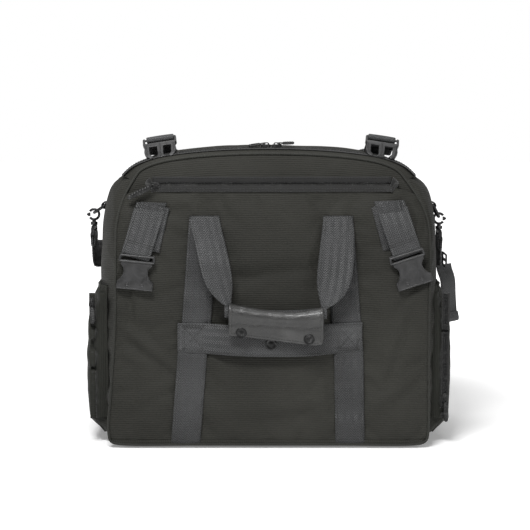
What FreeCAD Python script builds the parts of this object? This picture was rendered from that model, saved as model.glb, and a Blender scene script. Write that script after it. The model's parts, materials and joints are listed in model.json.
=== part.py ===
import FreeCAD, Part
import math
import os
from FreeCAD import Vector, Rotation, Placement

# Soft-sided flight bag, millimetres, +Z up, front faces -Y, +X to the right.
# Origin: centre of the overall box, on the plane that the feet stand on.
doc = FreeCAD.newDocument("flight_bag")
sheet = doc.addObject("Spreadsheet::Sheet", "dims")

SIZES = [
    ("wall", 3.0, "thickness of a padded fabric wall"),
    ("base_z", 6.0, "underside of the base above the feet's plane"),
    ("body_top", 382.0, "crown of the lid"),
    ("half_low", 207.0, "half width at the base"),
    ("half_mid", 219.0, "half width at the bulge of the sides"),
    ("front_low", -117.0, "front face at the base"),
    ("lip_y", -100.0, "front face at the pocket lip"),
    ("lip_z", 336.0, "pocket lip height"),
    ("inner_low", -91.0, "front wall of the main compartment at the base"),
    ("inner_lip", -83.0, "front wall of the main compartment at lip height"),
    ("crown_front", -72.0, "front edge of the crown"),
    ("back_low", 116.0, "back face at the base"),
    ("back_top", 99.0, "back face at the lid hinge"),
    ("hinge_z", 345.5, "lid hinge height"),
    ("lid_cut_y", -56.0, "front edge of the lid"),
    ("gap", 0.5, "clearance round the lid"),
    ("web_width", 38.0, "webbing width"),
    ("web_thick", 1.6, "webbing thickness"),
    ("web_left_low", -105.5, "left carry web at the base"),
    ("web_left_high", -81.0, "left carry web at the handle"),
    ("web_right_low", 102.5, "right carry web at the base"),
    ("web_right_high", 87.0, "right carry web at the handle"),
    ("web_top_z", 296.0, "top of the carry webs"),
    ("foot_radius", 9.0, "foot radius"),
    ("foot_x", 166.0, "foot offset from the middle"),
    ("foot_y", 92.0, "foot offset from the middle, front to back"),
    ("board_thick", 3.0, "stiffener in the base"),
    ("divider_x", 70.0, "divider offset"),
    ("divider_thick", 4.0, "divider thickness"),
    ("divider_top", 240.0, "divider height"),
    ("pouch_out", 238.0, "outer face of a side pocket"),
    ("pouch_top", 208.0, "top of a side pocket"),
    ("pouch_half", 92.0, "half depth of a side pocket"),
    ("grip_length", 122.0, "leather grip length"),
    ("grip_mid_x", 9.0, "leather grip middle"),
    ("grip_y", -138.0, "leather grip axis"),
    ("grip_z", 168.0, "leather grip axis height"),
    ("snap_radius", 7.5, "snap cap radius"),
    ("cross_z", 140.0, "middle of the cross strap"),
    ("cross_left", -115.0, "left end of the cross strap"),
    ("cross_right", 117.0, "right end of the cross strap"),
    ("cross_bow", 12.0, "how far the cross strap stands off the panel"),
    ("buckle_width", 44.0, "buckle width"),
    ("buckle_thick", 11.0, "buckle thickness"),
    ("ring_wire", 4.0, "D ring wire diameter"),
    ("ring_width", 40.0, "D ring width"),
    ("slider_long", 12.0, "zip slider length"),
    ("slider_wide", 8.0, "zip slider width"),
    ("slider_thick", 4.0, "zip slider thickness"),
    ("tape_thick", 1.2, "zip tape thickness"),
    ("tape_wide", 8.0, "zip tape width each side"),
]
D = {}
for row, (alias, value, note) in enumerate(SIZES, start=1):
    sheet.set("A%d" % row, alias.replace("_", " "))
    sheet.set("B%d" % row, str(value))
    sheet.set("C%d" % row, note)
    sheet.setAlias("B%d" % row, alias)
doc.recompute()
for alias, value, note in SIZES:
    D[alias] = float(sheet.get(alias))

W = D["wall"]


# ---------------------------------------------------------------- helpers
def origin_plane(body, role):
    for f in body.Origin.OriginFeatures:
        if f.Role == role:
            return f


def pad(name, plane, pts, length, mid=True, expr=None, holes=(), base=None, rot=None):
    """Closed outline on an origin plane, padded; XZ points are (x, z), YZ points (y, z)."""
    body = doc.addObject("PartDesign::Body", name)
    sk = body.newObject("Sketcher::SketchObject", name + "_sketch")
    sk.AttachmentSupport = [(origin_plane(body, plane), "")]
    sk.MapMode = "FlatFace"
    for loop in [pts] + list(holes):
        geo = []
        for i in range(len(loop)):
            a, b = loop[i], loop[(i + 1) % len(loop)]
            geo.append(Part.LineSegment(Vector(a[0], a[1], 0), Vector(b[0], b[1], 0)))
        sk.addGeometry(geo, False)
    feat = body.newObject("PartDesign::Pad", name + "_pad")
    feat.Profile = sk
    feat.Length = length
    if mid:
        feat.SideType = "Symmetric"
    if expr:
        feat.setExpression("Length", expr)
    body.Tip = feat
    if base is not None or rot is not None:
        body.Placement = Placement(Vector(*(base or (0, 0, 0))), rot or Rotation())
    return body


def box(name, lo, hi, ex=None):
    b = doc.addObject("Part::Box", name)
    b.Length, b.Width, b.Height = hi[0] - lo[0], hi[1] - lo[1], hi[2] - lo[2]
    b.Placement = Placement(Vector(*lo), Rotation())
    for prop, e in (ex or {}).items():
        b.setExpression(prop, e)
    return b


def cylinder(name, r, height, base, axis, ex=None):
    c = doc.addObject("Part::Cylinder", name)
    c.Radius, c.Height = r, height
    c.Placement = Placement(Vector(*base), Rotation(Vector(0, 0, 1), Vector(*axis)))
    for prop, e in (ex or {}).items():
        c.setExpression(prop, e)
    return c


def cut(name, a, b):
    o = doc.addObject("Part::Cut", name)
    o.Base, o.Tool = a, b
    return o


def common(name, *objs):
    o = doc.addObject("Part::MultiCommon", name)
    o.Shapes = list(objs)
    return o


def fuse(name, *objs):
    o = doc.addObject("Part::MultiFuse", name)
    o.Shapes = list(objs)
    return o


def group(name, *objs):
    o = doc.addObject("Part::Compound", name)
    o.Links = list(objs)
    return o


def inset(pts, d):
    """Offset a closed counter-clockwise polygon inwards by d."""
    out = []
    n = len(pts)
    for i in range(n):
        p0, p1, p2 = pts[i - 1], pts[i], pts[(i + 1) % n]
        e1 = (p1[0] - p0[0], p1[1] - p0[1])
        e2 = (p2[0] - p1[0], p2[1] - p1[1])
        l1, l2 = math.hypot(*e1), math.hypot(*e2)
        n1 = (-e1[1] / l1, e1[0] / l1)
        n2 = (-e2[1] / l2, e2[0] / l2)
        k = 1.0 + n1[0] * n2[0] + n1[1] * n2[1]
        out.append((p1[0] + d * (n1[0] + n2[0]) / k, p1[1] + d * (n1[1] + n2[1]) / k))
    return out


def facets(name, tris):
    """Closed solid from flat triangles, for webbing that bends and twists."""
    faces = []
    for a, b, c in tris:
        w = Part.makePolygon([Vector(*a), Vector(*b), Vector(*c), Vector(*a)])
        faces.append(Part.Face(w))
    solid = Part.makeSolid(Part.makeShell(faces))
    if solid.Volume < 0:
        solid.reverse()
    o = doc.addObject("Part::Feature", name)
    o.Shape = solid
    return o


def ribbon(name, stations, thick):
    """Flat webbing: stations are (centre, width direction, outward normal, width);
    it is thick outwards of the centre line."""
    rings = []
    for c, u, nrm, width in stations:
        c, u, nrm = Vector(*c), Vector(*u), Vector(*nrm)
        u.normalize()
        nrm.normalize()
        h = width / 2.0
        rings.append([c - u * h, c + u * h, c + u * h + nrm * thick, c - u * h + nrm * thick])
    tris = []
    for i in range(len(rings) - 1):
        a, b = rings[i], rings[i + 1]
        for k in range(4):
            j = (k + 1) % 4
            tris.append((a[k], a[j], b[j]))
            tris.append((a[k], b[j], b[k]))
    a = rings[0]
    tris += [(a[0], a[2], a[1]), (a[0], a[3], a[2])]
    a = rings[-1]
    tris += [(a[0], a[1], a[2]), (a[0], a[2], a[3])]
    return facets(name, tris)


def front_y(z):
    """Outer face of the pocket panel at height z."""
    return D["front_low"] + (D["lip_y"] - D["front_low"]) * (z - D["base_z"]) / (D["lip_z"] - D["base_z"])


def back_y(z):
    return D["back_low"] + (D["back_top"] - D["back_low"]) * (z - D["base_z"]) / (D["hinge_z"] - D["base_z"])


# ---------------------------------------------------------------- the shell
top = D["body_top"]
right = [(192.0, 6.0), (202.0, 9.0), (D["half_low"], 20.0), (215.0, 90.0), (D["half_mid"], 190.0), (218.0, 255.0),
         (214.0, 296.0), (206.0, 321.0), (193.0, 343.0), (174.0, 360.0), (148.0, 370.0), (112.0, 376.0), (60.0, 380.5)]
outline = right + [(0.0, top)] + [(-x, z) for x, z in reversed(right)]
plan = [(-207.0, -130.0), (207.0, -130.0), (207.0, -70.0), (D["half_mid"], 0.0), (207.0, 84.0), (203.0, 130.0),
        (-203.0, 130.0), (-207.0, 84.0), (-D["half_mid"], 0.0), (-207.0, -70.0)]
plan[0] = (-202.0, -130.0)
plan[1] = (202.0, -130.0)
side = [(D["front_low"], D["base_z"] - 2), (D["back_low"], D["base_z"] - 2), (D["back_top"], D["hinge_z"]),
        (86.0, 369.0), (70.0, top + 4), (D["crown_front"], top + 4), (-79.0, 352.0), (D["inner_lip"], D["lip_z"] + 0.2),
        (D["lip_y"], D["lip_z"])]


def block(tag, d):
    o = pad("outline_" + tag, "XZ_Plane", inset(outline, d), 400.0)
    p = pad("plan_" + tag, "XY_Plane", inset(plan, d), 900.0)
    return common("block_" + tag, o, p)


outer = block("outer", 0.0)
hollow = block("hollow", W)
hollow_b = block("hollow_b", W)
hollow_c = block("hollow_c", W)
hollow_d = block("hollow_d", W)
profile = pad("profile", "YZ_Plane", side, 600.0)
ring_full = cut("ring_full", outer, hollow)
ring = common("ring", ring_full, profile)

# lid region: everything behind its front edge and above the hinge plane
cut_y, hz, gap = D["lid_cut_y"], D["hinge_z"], D["gap"]
lid_zone = box("lid_zone", (-260, cut_y, hz + gap), (260, 200, 420))
lid_zone_body = box("lid_zone_body", (-260, cut_y - gap, hz), (260, 200, 420))
ring_body = cut("ring_body", ring, lid_zone_body)
rear_strip = pad("rear_strip", "YZ_Plane",
                 [(98.6, hz + 0.9), (86.0, 369.0), (74.0, 384.0), (71.0, 381.0), (82.8, 367.2), (95.2, hz + 0.9)], 600.0)
lid_ring = common("lid_ring", ring, lid_zone)
lid_rear = common("lid_rear", rear_strip, hollow_b)
lid_panel = fuse("lid_panel", lid_ring, lid_rear)

low_zone = box("low_zone", (-260, -200, 0), (260, 200, 13.4))
left_zone = box("left_zone", (-260, -200, 13.4), (0, 200, 420))
right_zone = box("right_zone", (0, -200, 13.4), (260, 200, 420))
top_zone = box("top_zone", (-260, -200, hz), (260, cut_y, 420))
below_top = box("below_top", (-260, -200, 0), (260, 200, hz))
ring_low = common("ring_low", ring_body, below_top)
base_panel = common("base_panel", ring_low, low_zone)
left_gusset = common("left_gusset", ring_low, left_zone)
right_gusset = common("right_gusset", ring_low, right_zone)

il, ll = D["inner_low"], D["inner_lip"]
front_sheet = pad("front_sheet", "YZ_Plane",
                  [(il, 9.0), (il + W, 9.0), (ll + W, D["lip_z"]), (-79.0 + W, 352.0), (D["crown_front"] + W, top + 4),
                   (D["crown_front"], top + 4), (-79.0, 352.0), (ll, D["lip_z"])], 600.0)
front_flat = common("front_flat", front_sheet, hollow_c)
front_strip = common("front_strip", ring_body, top_zone)
front_wall = fuse("front_wall", front_flat, front_strip)

back_sheet = pad("back_sheet", "YZ_Plane",
                 [(D["back_low"] - W, 9.0), (D["back_low"], 9.0), (D["back_top"], hz), (D["back_top"] - W, hz)], 600.0)
back_panel = common("back_panel", back_sheet, hollow_d)

hollow_e = block("hollow_e", W)
pocket_sheet = pad("pocket_sheet", "YZ_Plane",
                   [(D["front_low"], 9.0), (D["front_low"] + W, 9.0), (D["lip_y"] + W, D["lip_z"]), (D["lip_y"], D["lip_z"])],
                   600.0)
front_pocket_panel = common("front_pocket_panel", pocket_sheet, hollow_e)

# ---------------------------------------------------------------- inside
base_board = box("base_board", (-187, -84, 9.0), (187, 108, 12.0), {"Height": "dims.board_thick"})
dv, dt = D["divider_x"], D["divider_thick"]
div_pts = [(-86.5, 12.2), (109.5, 12.2), (102.0, D["divider_top"] - 20), (80.0, D["divider_top"]),
           (-60.0, D["divider_top"]), (-80.0, D["divider_top"] - 20)]
divider_left = pad("divider_left", "YZ_Plane", div_pts, dt, expr="dims.divider_thick", base=(-dv, 0, 0))
divider_right = pad("divider_right", "YZ_Plane", div_pts, dt, expr="dims.divider_thick", base=(dv, 0, 0))

# ---------------------------------------------------------------- piping along the seams
seam_r = [(192.0, 6.0), (200.0, 9.0), (203.2, 20.0), (203.4, 190.0), (203.0, 300.0), (200.5, 330.0), (198.0, 360.0)]
seam = seam_r + [(-x, z) for x, z in reversed(seam_r)]
pipe_out = pad("pipe_out", "XZ_Plane", inset(seam, -1.0), 400.0)
pipe_in = pad("pipe_in", "XZ_Plane", inset(seam, 1.8), 401.0)
notch_l = box("notch_left", (D["web_left_low"] - 20.0, -150, 0), (D["web_left_low"] + 20.0, 150, 14))
notch_r = box("notch_right", (D["web_right_low"] - 20.0, -150, 0), (D["web_right_low"] + 20.0, 150, 14))
pipe_tool = fuse("pipe_tool", pipe_in, notch_l, notch_r)
pipe_ring = cut("pipe_ring", pipe_out, pipe_tool)
front_slab = pad("front_slab", "YZ_Plane",
                 [(D["front_low"] - 2.4, 5.0), (D["front_low"] - 0.4, 5.0), (D["lip_y"] - 0.4, D["lip_z"]),
                  (D["lip_y"] - 2.4, D["lip_z"])], 600.0)
pipe_front_ring = common("pipe_front_ring", pipe_ring, front_slab)
front_piping = pipe_front_ring
front_piping.Label = "front_piping"
pipe_ring_b = cut("pipe_ring_b", pipe_out, pipe_tool)
back_slab = pad("back_slab", "YZ_Plane",
                [(D["back_low"] + 0.5, 5.0), (D["back_low"] + 3.0, 5.0), (D["back_top"] + 3.0, hz - 2),
                 (D["back_top"] + 0.5, hz - 2)], 600.0)
back_piping = common("back_piping", pipe_ring_b, back_slab)

# ---------------------------------------------------------------- feet
fx, fy = D["foot_x"], D["foot_y"]
feet_parts = []
for i, (sx, sy) in enumerate([(-1, -1), (1, -1), (-1, 1), (1, 1)]):
    c = doc.addObject("Part::Cone", "foot_%d" % i)
    c.Radius1, c.Radius2, c.Height = D["foot_radius"] - 2.0, D["foot_radius"], D["base_z"] - 0.0
    c.setExpression("Radius2", "dims.foot_radius")
    c.setExpression("Height", "dims.base_z")
    c.Placement = Placement(Vector(sx * fx, sy * fy, 0), Rotation())
    feet_parts.append(c)
feet = group("feet", *feet_parts)

# ---------------------------------------------------------------- side pockets
po, pt, ph = D["pouch_out"], D["pouch_top"], D["pouch_half"]


def pouch(name, sgn):
    pts = [(190, -ph), (226, -ph), (po - 3, -ph + 10), (po, -ph + 26), (po, ph - 26), (po - 3, ph - 10), (226, ph), (190, ph)]
    pin = [(180, -ph + 2.5), (224.5, -ph + 2.5), (po - 5.5, -ph + 11.5), (po - 2.5, -ph + 26), (po - 2.5, ph - 26),
           (po - 5.5, ph - 11.5), (224.5, ph - 2.5), (180, ph - 2.5)]
    if sgn < 0:
        pts = [(-x, y) for x, y in reversed(pts)]
        pin = [(-x, y) for x, y in reversed(pin)]
    skin = pad(name + "_skin", "XY_Plane", pts, pt - 12.0, mid=False, base=(0, 0, 12.0))
    room = pad(name + "_room", "XY_Plane", pin, pt - 17.0, mid=False, base=(0, 0, 14.5))
    slot = box(name + "_slot", ((221.0 if sgn > 0 else -232.0), -74.0, pt - 8), ((232.0 if sgn > 0 else -221.0), 74.0, pt + 5))
    o = pad(name + "_o", "XZ_Plane", inset(outline, -0.02), 400.0)
    p = pad(name + "_p", "XY_Plane", inset(plan, -0.02), 900.0)
    core = common(name + "_core", o, p)
    tool = fuse(name + "_tool", room, slot, core)
    return cut(name, skin, tool)


left_side_pocket = pouch("left_side_pocket", -1)
right_side_pocket = pouch("right_side_pocket", 1)

# ---------------------------------------------------------------- zips
tt, tw = D["tape_thick"], D["tape_wide"]


def arch(name, y0, y1):
    a = pad(name + "_a", "XZ_Plane", inset(outline, -tt), 400.0)
    b = pad(name + "_b", "XZ_Plane", outline, 401.0)
    s = cut(name + "_s", a, b)
    z = box(name + "_z", (-260, y0, hz + 2), (260, y1, 420))
    return common(name, s, z)


main_zip_front_tape = arch("main_zip_front_tape", cut_y - gap - tw, cut_y - gap)
main_zip_lid_tape = arch("main_zip_lid_tape", cut_y, cut_y + tw)
lean = math.degrees(math.atan2(D["lip_y"] - D["front_low"], D["lip_z"] - D["base_z"]))
tape_f = box("pocket_tape_front", (-146, D["lip_y"] - 1.9, D["lip_z"] - 10), (156, D["lip_y"] - 0.75, D["lip_z"] + 1.0),
             {"Width": "dims.tape_thick"})
tape_r = box("pocket_tape_rear", (-146, D["inner_lip"] - 1.6, D["lip_z"] + 2.5), (156, D["inner_lip"] - 0.4, D["lip_z"] + 10.5),
             {"Width": "dims.tape_thick"})
pocket_zip_tape = group("pocket_zip_tape", tape_f, tape_r)
left_zip_tape = box("left_zip_tape", (-233, -ph - 1.3, 36), (-223, -ph - 0.1, 196), {"Width": "dims.tape_thick"})
right_zip_tape = box("right_zip_tape", (223, -ph - 1.3, 36), (233, -ph - 0.1, 196), {"Width": "dims.tape_thick"})


def slider(name, c, along):
    """Zip slider: rounded body with a bridge over its top; along is the travel axis."""
    L, Wd, T = D["slider_long"], D["slider_wide"], D["slider_thick"]
    pts = [(-L / 2, -Wd / 2 + 1.5), (-L / 2 + 1.5, -Wd / 2), (L / 2 - 2, -Wd / 2 + 1), (L / 2, -Wd / 2 + 2.5),
           (L / 2, Wd / 2 - 2.5), (L / 2 - 2, Wd / 2 - 1), (-L / 2 + 1.5, Wd / 2), (-L / 2, Wd / 2 - 1.5)]
    body = doc.addObject("PartDesign::Body", name)
    sk = body.newObject("Sketcher::SketchObject", name + "_sketch")
    sk.AttachmentSupport = [(origin_plane(body, "XY_Plane"), "")]
    sk.MapMode = "FlatFace"
    sk.addGeometry([Part.LineSegment(Vector(pts[i][0], pts[i][1], 0), Vector(pts[(i + 1) % 8][0], pts[(i + 1) % 8][1], 0))
                    for i in range(8)], False)
    f = body.newObject("PartDesign::Pad", name + "_pad")
    f.Profile = sk
    f.Length = T
    f.setExpression("Length", "dims.slider_thick")
    sk2 = body.newObject("Sketcher::SketchObject", name + "_bridge_sketch")
    sk2.AttachmentSupport = [(origin_plane(body, "XZ_Plane"), "")]
    sk2.MapMode = "FlatFace"
    q = [(-4.5, T - 0.5), (4.5, T - 0.5), (4.5, T + 1.0), (3.0, T + 2.6), (-3.0, T + 2.6), (-4.5, T + 1.0)]
    hole = [(-2.6, T + 0.0), (2.6, T + 0.0), (2.6, T + 1.4), (-2.6, T + 1.4)]
    for loop in (q, hole):
        sk2.addGeometry([Part.LineSegment(Vector(loop[i][0], loop[i][1], 0), Vector(loop[(i + 1) % len(loop)][0], loop[(i + 1) % len(loop)][1], 0))
                         for i in range(len(loop))], False)
    g = body.newObject("PartDesign::Pad", name + "_bridge")
    g.Profile = sk2
    g.Length = 2.4
    g.SideType = "Symmetric"
    body.Tip = g
    if along == "x_top":
        rot = Rotation()
    elif along == "x_front":
        rot = Rotation(Vector(1, 0, 0), 90)
    else:
        rot = Rotation(Vector(1, 0, 0), 90) * Rotation(Vector(0, 0, 1), 90)
    body.Placement = Placement(Vector(*c), rot)
    return body


main_slider_left = slider("main_slider_left", (-4.0, cut_y - 0.2, top + tt + 0.4), "x_top")
main_slider_right = slider("main_slider_right", (10.5, cut_y - 0.2, top + tt + 0.4), "x_top")
pocket_slider = slider("pocket_slider", (-144.0, D["lip_y"] - 2.2, D["lip_z"] + 1.0), "x_front")
left_slider = slider("left_slider", (-228.0, -ph - 1.6, 186.0), "z_front")
right_slider = slider("right_slider", (228.0, -ph - 1.6, 62.0), "z_front")


def pull(name, plane, a, b, wide, thick, at, mid_expr=None):
    """Flat pull tab from a to b in a plane's own two axes, square across."""
    dx, dy = b[0] - a[0], b[1] - a[1]
    L = math.hypot(dx, dy)
    ux, uy = dx / L, dy / L
    nx, ny = -uy * wide / 2, ux * wide / 2
    pts = [(a[0] + nx * 0.5, a[1] + ny * 0.5), (a[0] - nx * 0.5, a[1] - ny * 0.5),
           (a[0] + ux * L * 0.35 - nx, a[1] + uy * L * 0.35 - ny), (b[0] - nx, b[1] - ny), (b[0] + nx, b[1] + ny),
           (a[0] + ux * L * 0.35 + nx, a[1] + uy * L * 0.35 + ny)]
    return pad(name, plane, pts, thick, base=at)


sz = top + tt + 0.4 + D["slider_thick"] + 2.9
main_pull_left = pull("main_pull_left", "XY_Plane", (-4.0, 0.0), (-27.0, -3.0), 6.0, 1.6, (0, cut_y - 0.2, sz + 0.9))
main_pull_right = pull("main_pull_right", "XY_Plane", (10.5, 0.0), (33.0, -3.0), 6.0, 1.6, (0, cut_y - 0.2, sz + 0.9))
pull_y = D["lip_y"] - 2.2 - D["slider_thick"] - 3.9
pocket_pull = pull("pocket_pull", "XZ_Plane", (-144.0, D["lip_z"] + 1.0), (-180.0, D["lip_z"] - 14.0), 6.0, 1.6, (0, pull_y, 0))
side_pull_y = -ph - 1.6 - D["slider_thick"] - 3.9
left_pull = pull("left_pull", "XZ_Plane", (-228.0, 186.0), (-226.0, 158.0), 6.0, 1.6, (0, side_pull_y, 0))
right_pull = pull("right_pull", "XZ_Plane", (228.0, 62.0), (229.0, 30.0), 6.0, 1.6, (0, side_pull_y, 0))

# ---------------------------------------------------------------- carry webs, one length of webbing each
wt, ww, wz = D["web_thick"], D["web_width"], D["web_top_z"]
X1 = (1, 0, 0)


def carry(name, low, high):
    bz = D["base_z"]
    st = []
    fn = (0, -1, 0.05)
    st.append(((high, front_y(wz) - 0.3, wz), X1, fn, ww))
    st.append(((low, front_y(18) - 0.3, 18), X1, fn, ww))
    st.append(((low, front_y(6) - 0.3, bz - 0.3), X1, (0, -0.7, -0.7), ww))
    st.append(((low, D["back_low"] + 0.3, bz - 0.3), X1, (0, 0.7, -0.7), ww))
    st.append(((low, back_y(18) + 0.5, 18), X1, (0, 1, 0.05), ww))
    st.append(((high, back_y(wz) + 0.5, wz), X1, (0, 1, 0.05), ww))
    return ribbon(name, st, wt)


carry_web_left = carry("carry_web_left", D["web_left_low"], D["web_left_high"])
carry_web_right = carry("carry_web_right", D["web_right_low"], D["web_right_high"])

# ---------------------------------------------------------------- cross strap, sewn over the two webs
cz, bow = D["cross_z"], D["cross_bow"]
cl, cr = D["cross_left"], D["cross_right"]
cy = -wt - 0.35
cp = [(cl, cy), (-76, cy), (-62, cy - bow * 0.7), (0, cy - bow), (62, cy - bow * 0.7), (78, cy), (cr, cy),
      (cr, cy - wt), (79, cy - wt), (62, cy - bow * 0.7 - wt), (0, cy - bow - wt), (-62, cy - bow * 0.7 - wt),
      (-77, cy - wt), (cl, cy - wt)]
cp.reverse()
tilt = Rotation(Vector(1, 0, 0), -lean)
cross_strap = pad("cross_strap", "XY_Plane", cp, ww, expr="dims.web_width", base=(0, front_y(cz), cz), rot=tilt)
sn = cylinder("cross_snap", D["snap_radius"], 2.4, (0, 0, 0), (0, -1, 0), {"Radius": "dims.snap_radius"})
sn.Placement = Placement(Vector(0, front_y(cz), cz), tilt).multiply(
    Placement(Vector(4.0, cy - bow - wt - 0.15, -11.0), Rotation(Vector(0, 0, 1), Vector(0, -1, 0))))
cross_snap = sn

# ---------------------------------------------------------------- handles
gy, gz, gl, gm = D["grip_y"], D["grip_z"], D["grip_length"], D["grip_mid_x"]
gx0, gx1 = gm - gl / 2, gm + gl / 2


def leg(sgn, y_of, xa, ya, nsgn):
    """Stations of one leg, from the anchor down to the grip."""
    xg = gx0 - 10.0 if sgn < 0 else gx1 + 10.0
    pts = []
    rows = [(0.0, 0, wz - 1.0, ww, 0), (0.10, 10, wz - 14, ww, 0), (0.33, 20, 257, ww, 0), (0.62, 27, 215, 34, 0),
            (0.90, 30, 190, 22, 0)]
    for t, off, z, w, _ in rows:
        x = xa + (xg - xa) * t
        y = ya + nsgn * off
        pts.append((x, y, z, w))
    return pts


def handle(name, nsgn, grip_yy, thick):
    ya = (front_y(wz) - wt - 0.8) if nsgn < 0 else (back_y(wz) + wt + 0.9)
    L = leg(-1, None, D["web_left_high"], ya, nsgn)
    R = leg(1, None, D["web_right_high"], ya, nsgn)
    st = []
    for k, (x, y, z, w) in enumerate(L):
        nxt = L[k + 1] if k + 1 < len(L) else (gx0 + 4, grip_yy, gz + 6, 22)
        d = Vector(nxt[0] - x, nxt[1] - y, nxt[2] - z)
        n = Vector(0, -d.z, d.y)
        n = n if n.y * nsgn > 0 else n * -1
        st.append(((x, y, z), (1, 0, 0), (n.x, n.y, n.z), w))
    ly = grip_yy - nsgn * 1.5
    st.append(((gx0 - 6, ly, gz + 3), (0.9, 0, 1), (0, nsgn, 0), 15.0))
    st.append(((gx0 + 6, ly, gz), (0, 0, 1), (0, nsgn, 0), 13.0))
    st.append(((gx1 - 6, ly, gz), (0, 0, 1), (0, nsgn, 0), 13.0))
    st.append(((gx1 + 6, ly, gz + 3), (-0.9, 0, 1), (0, nsgn, 0), 15.0))
    for k, (x, y, z, w) in reversed(list(enumerate(R))):
        nxt = R[k + 1] if k + 1 < len(R) else (gx1 - 4, grip_yy, gz + 6, 22)
        d = Vector(nxt[0] - x, nxt[1] - y, nxt[2] - z)
        n = Vector(0, -d.z, d.y)
        n = n if n.y * nsgn > 0 else n * -1
        st.append(((x, y, z), (-1, 0, 0), (n.x, n.y, n.z), w))
    return ribbon(name, st, thick)


front_handle_web = handle("front_handle_web", -1, gy, 3.0)
rear_handle_web = handle("rear_handle_web", 1, -gy, 3.0)
# leather wrap: a tube round the webbing with a closing flap below it, seen along X
sec = [(-4, 11.5), (4, 11.5), (9, 8.0), (11.0, 1.5), (10.0, -5.0), (5.0, -10.0), (0.5, -12.5), (-1.5, -32.0),
       (-6.0, -32.0), (-6.5, -13.0), (-9.0, -7.0), (-11.0, 1.0), (-9, 8.0)]
tun = [(-5.5, 8.7), (5.5, 8.7), (5.5, -8.7), (-5.5, -8.7)]
handle_grip = pad("handle_grip", "YZ_Plane", [(y, z) for y, z in sec], gl - 2.0, expr="dims.grip_length - 2",
                  holes=[tun], base=(gm, gy, gz))
s1 = cylinder("snap_a", D["snap_radius"], 2.2, (gx0 + 17, gy - 6.45, gz - 24.5), (0, -1, 0), {"Radius": "dims.snap_radius"})
s2 = cylinder("snap_b", D["snap_radius"], 2.2, (gx1 - 19, gy - 6.45, gz - 24.5), (0, -1, 0), {"Radius": "dims.snap_radius"})
grip_snaps = group("grip_snaps", s1, s2)

# ---------------------------------------------------------------- front flap straps and their sockets
bw, bt = D["buckle_width"], D["buckle_thick"]


def turn(ang):
    """In the leaning front plane, turned about its normal."""
    return Rotation(Vector(1, 0, 0), -lean) * Rotation(Vector(0, 1, 0), ang)


def front_strap(name, top_c, ang):
    """Doubled webbing hanging from its seam; local -Z is down the strap, ending in a loop round a bar."""
    pts = [(-0.1, 0.0), (-2 * wt, 0.0), (-wt - 3.0, -6.0), (-9.0, -30.0), (-11.2, -52.0), (-11.6, -60.0), (-10.4, -65.2),
           (-6.0, -65.2), (-4.8, -60.0), (-5.2, -52.0), (-4.6, -30.0), (-0.6, -6.0)]
    hole = [(-9.8, -57.5), (-6.6, -57.5), (-6.6, -63.4), (-9.8, -63.4)]
    return pad(name, "YZ_Plane", list(reversed(pts)), ww - 1, holes=[hole], base=top_c, rot=turn(ang))


def local(c, ang, v):
    p = Placement(Vector(*c), turn(ang)).multVec(Vector(*v))
    return (p.x, p.y, p.z)


def female(name, c, ang):
    """Side-release socket: bar, waisted body, flared mouth below; hollow for the prongs."""
    hb = bw / 2
    shape = [(-hb + 0.8, 1.1), (hb - 0.8, 1.1), (hb, 0.3), (hb, -7.5), (hb - 3.0, -12.0), (hb - 6.5, -18.0), (hb - 6.5, -24.0),
             (hb - 3.5, -30.0), (hb + 1.0, -34.0), (hb + 1.0, -44.0), (-hb - 1.0, -44.0), (-hb - 1.0, -34.0),
             (-hb + 3.5, -30.0), (-hb + 6.5, -24.0), (-hb + 6.5, -18.0), (-hb + 3.0, -12.0), (-hb, -7.5), (-hb, 0.3)]
    window = [(-hb + 2.5, -1.1), (hb - 2.5, -1.1), (hb - 2.5, -6.6), (-hb + 2.5, -6.6)]
    rot = turn(ang)
    slab = pad(name + "_slab", "XZ_Plane", shape, bt, expr="dims.buckle_thick", holes=[window], base=c, rot=rot)
    lo = (-hb + 5, -bt / 2 + 2.2, -46.0)
    hi = (hb - 5, bt / 2 - 2.2, -12.0)
    m = box(name + "_mouth", lo, hi)
    m.Placement = Placement(Vector(*c), rot).multiply(Placement(Vector(*lo), Rotation()))
    # the bar zone is thinner than the socket
    f1 = box(name + "_f1", (0, 0, 0), (bw + 4, 4.8, 18))
    f1.Placement = Placement(Vector(*c), rot).multiply(Placement(Vector(-hb - 2, -5.9, -7.0), Rotation()))
    f2 = box(name + "_f2", (0, 0, 0), (bw + 4, 4.8, 18))
    f2.Placement = Placement(Vector(*c), rot).multiply(Placement(Vector(-hb - 2, 1.1, -7.0), Rotation()))
    t = fuse(name + "_tool", m, f1, f2)
    return cut(name, slab, t)


SL, AL = (-149.0, front_y(307.0) - 0.15, 307.0), 17.0
SR, AR = (153.0, front_y(309.0) - 0.9, 309.0), -19.5
front_strap_left = front_strap("front_strap_left", SL, AL)
front_strap_right = front_strap("front_strap_right", SR, AR)
BL = local(SL, AL, (0, -8.2, -61.6))
BR = local(SR, AR, (0, -8.2, -61.6))
buckle_female_left = female("buckle_female_left", BL, AL)
buckle_female_right = female("buckle_female_right", BR, AR)


def tab(name, c, ang, dx):
    """Sewn end of the strap above its fold, and the backing tab beside it."""
    a = box(name + "_a", (0, 0, 0), (ww - 1, wt, 7.5))
    a.Placement = Placement(Vector(*c), turn(ang)).multiply(Placement(Vector(-(ww - 1) / 2, -wt - 0.1, 0.5), Rotation()))
    return a


front_tabs = group("front_tabs", tab("front_tab_left", SL, AL, 1), tab("front_tab_right", SR, AR, -1))

# ---------------------------------------------------------------- top straps and their plugs, on the lid
TX, TZ, TA = 143.0, 371.4, 8.6


def top_turn(sgn):
    return Rotation(Vector(0, 1, 0), sgn * TA)


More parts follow.
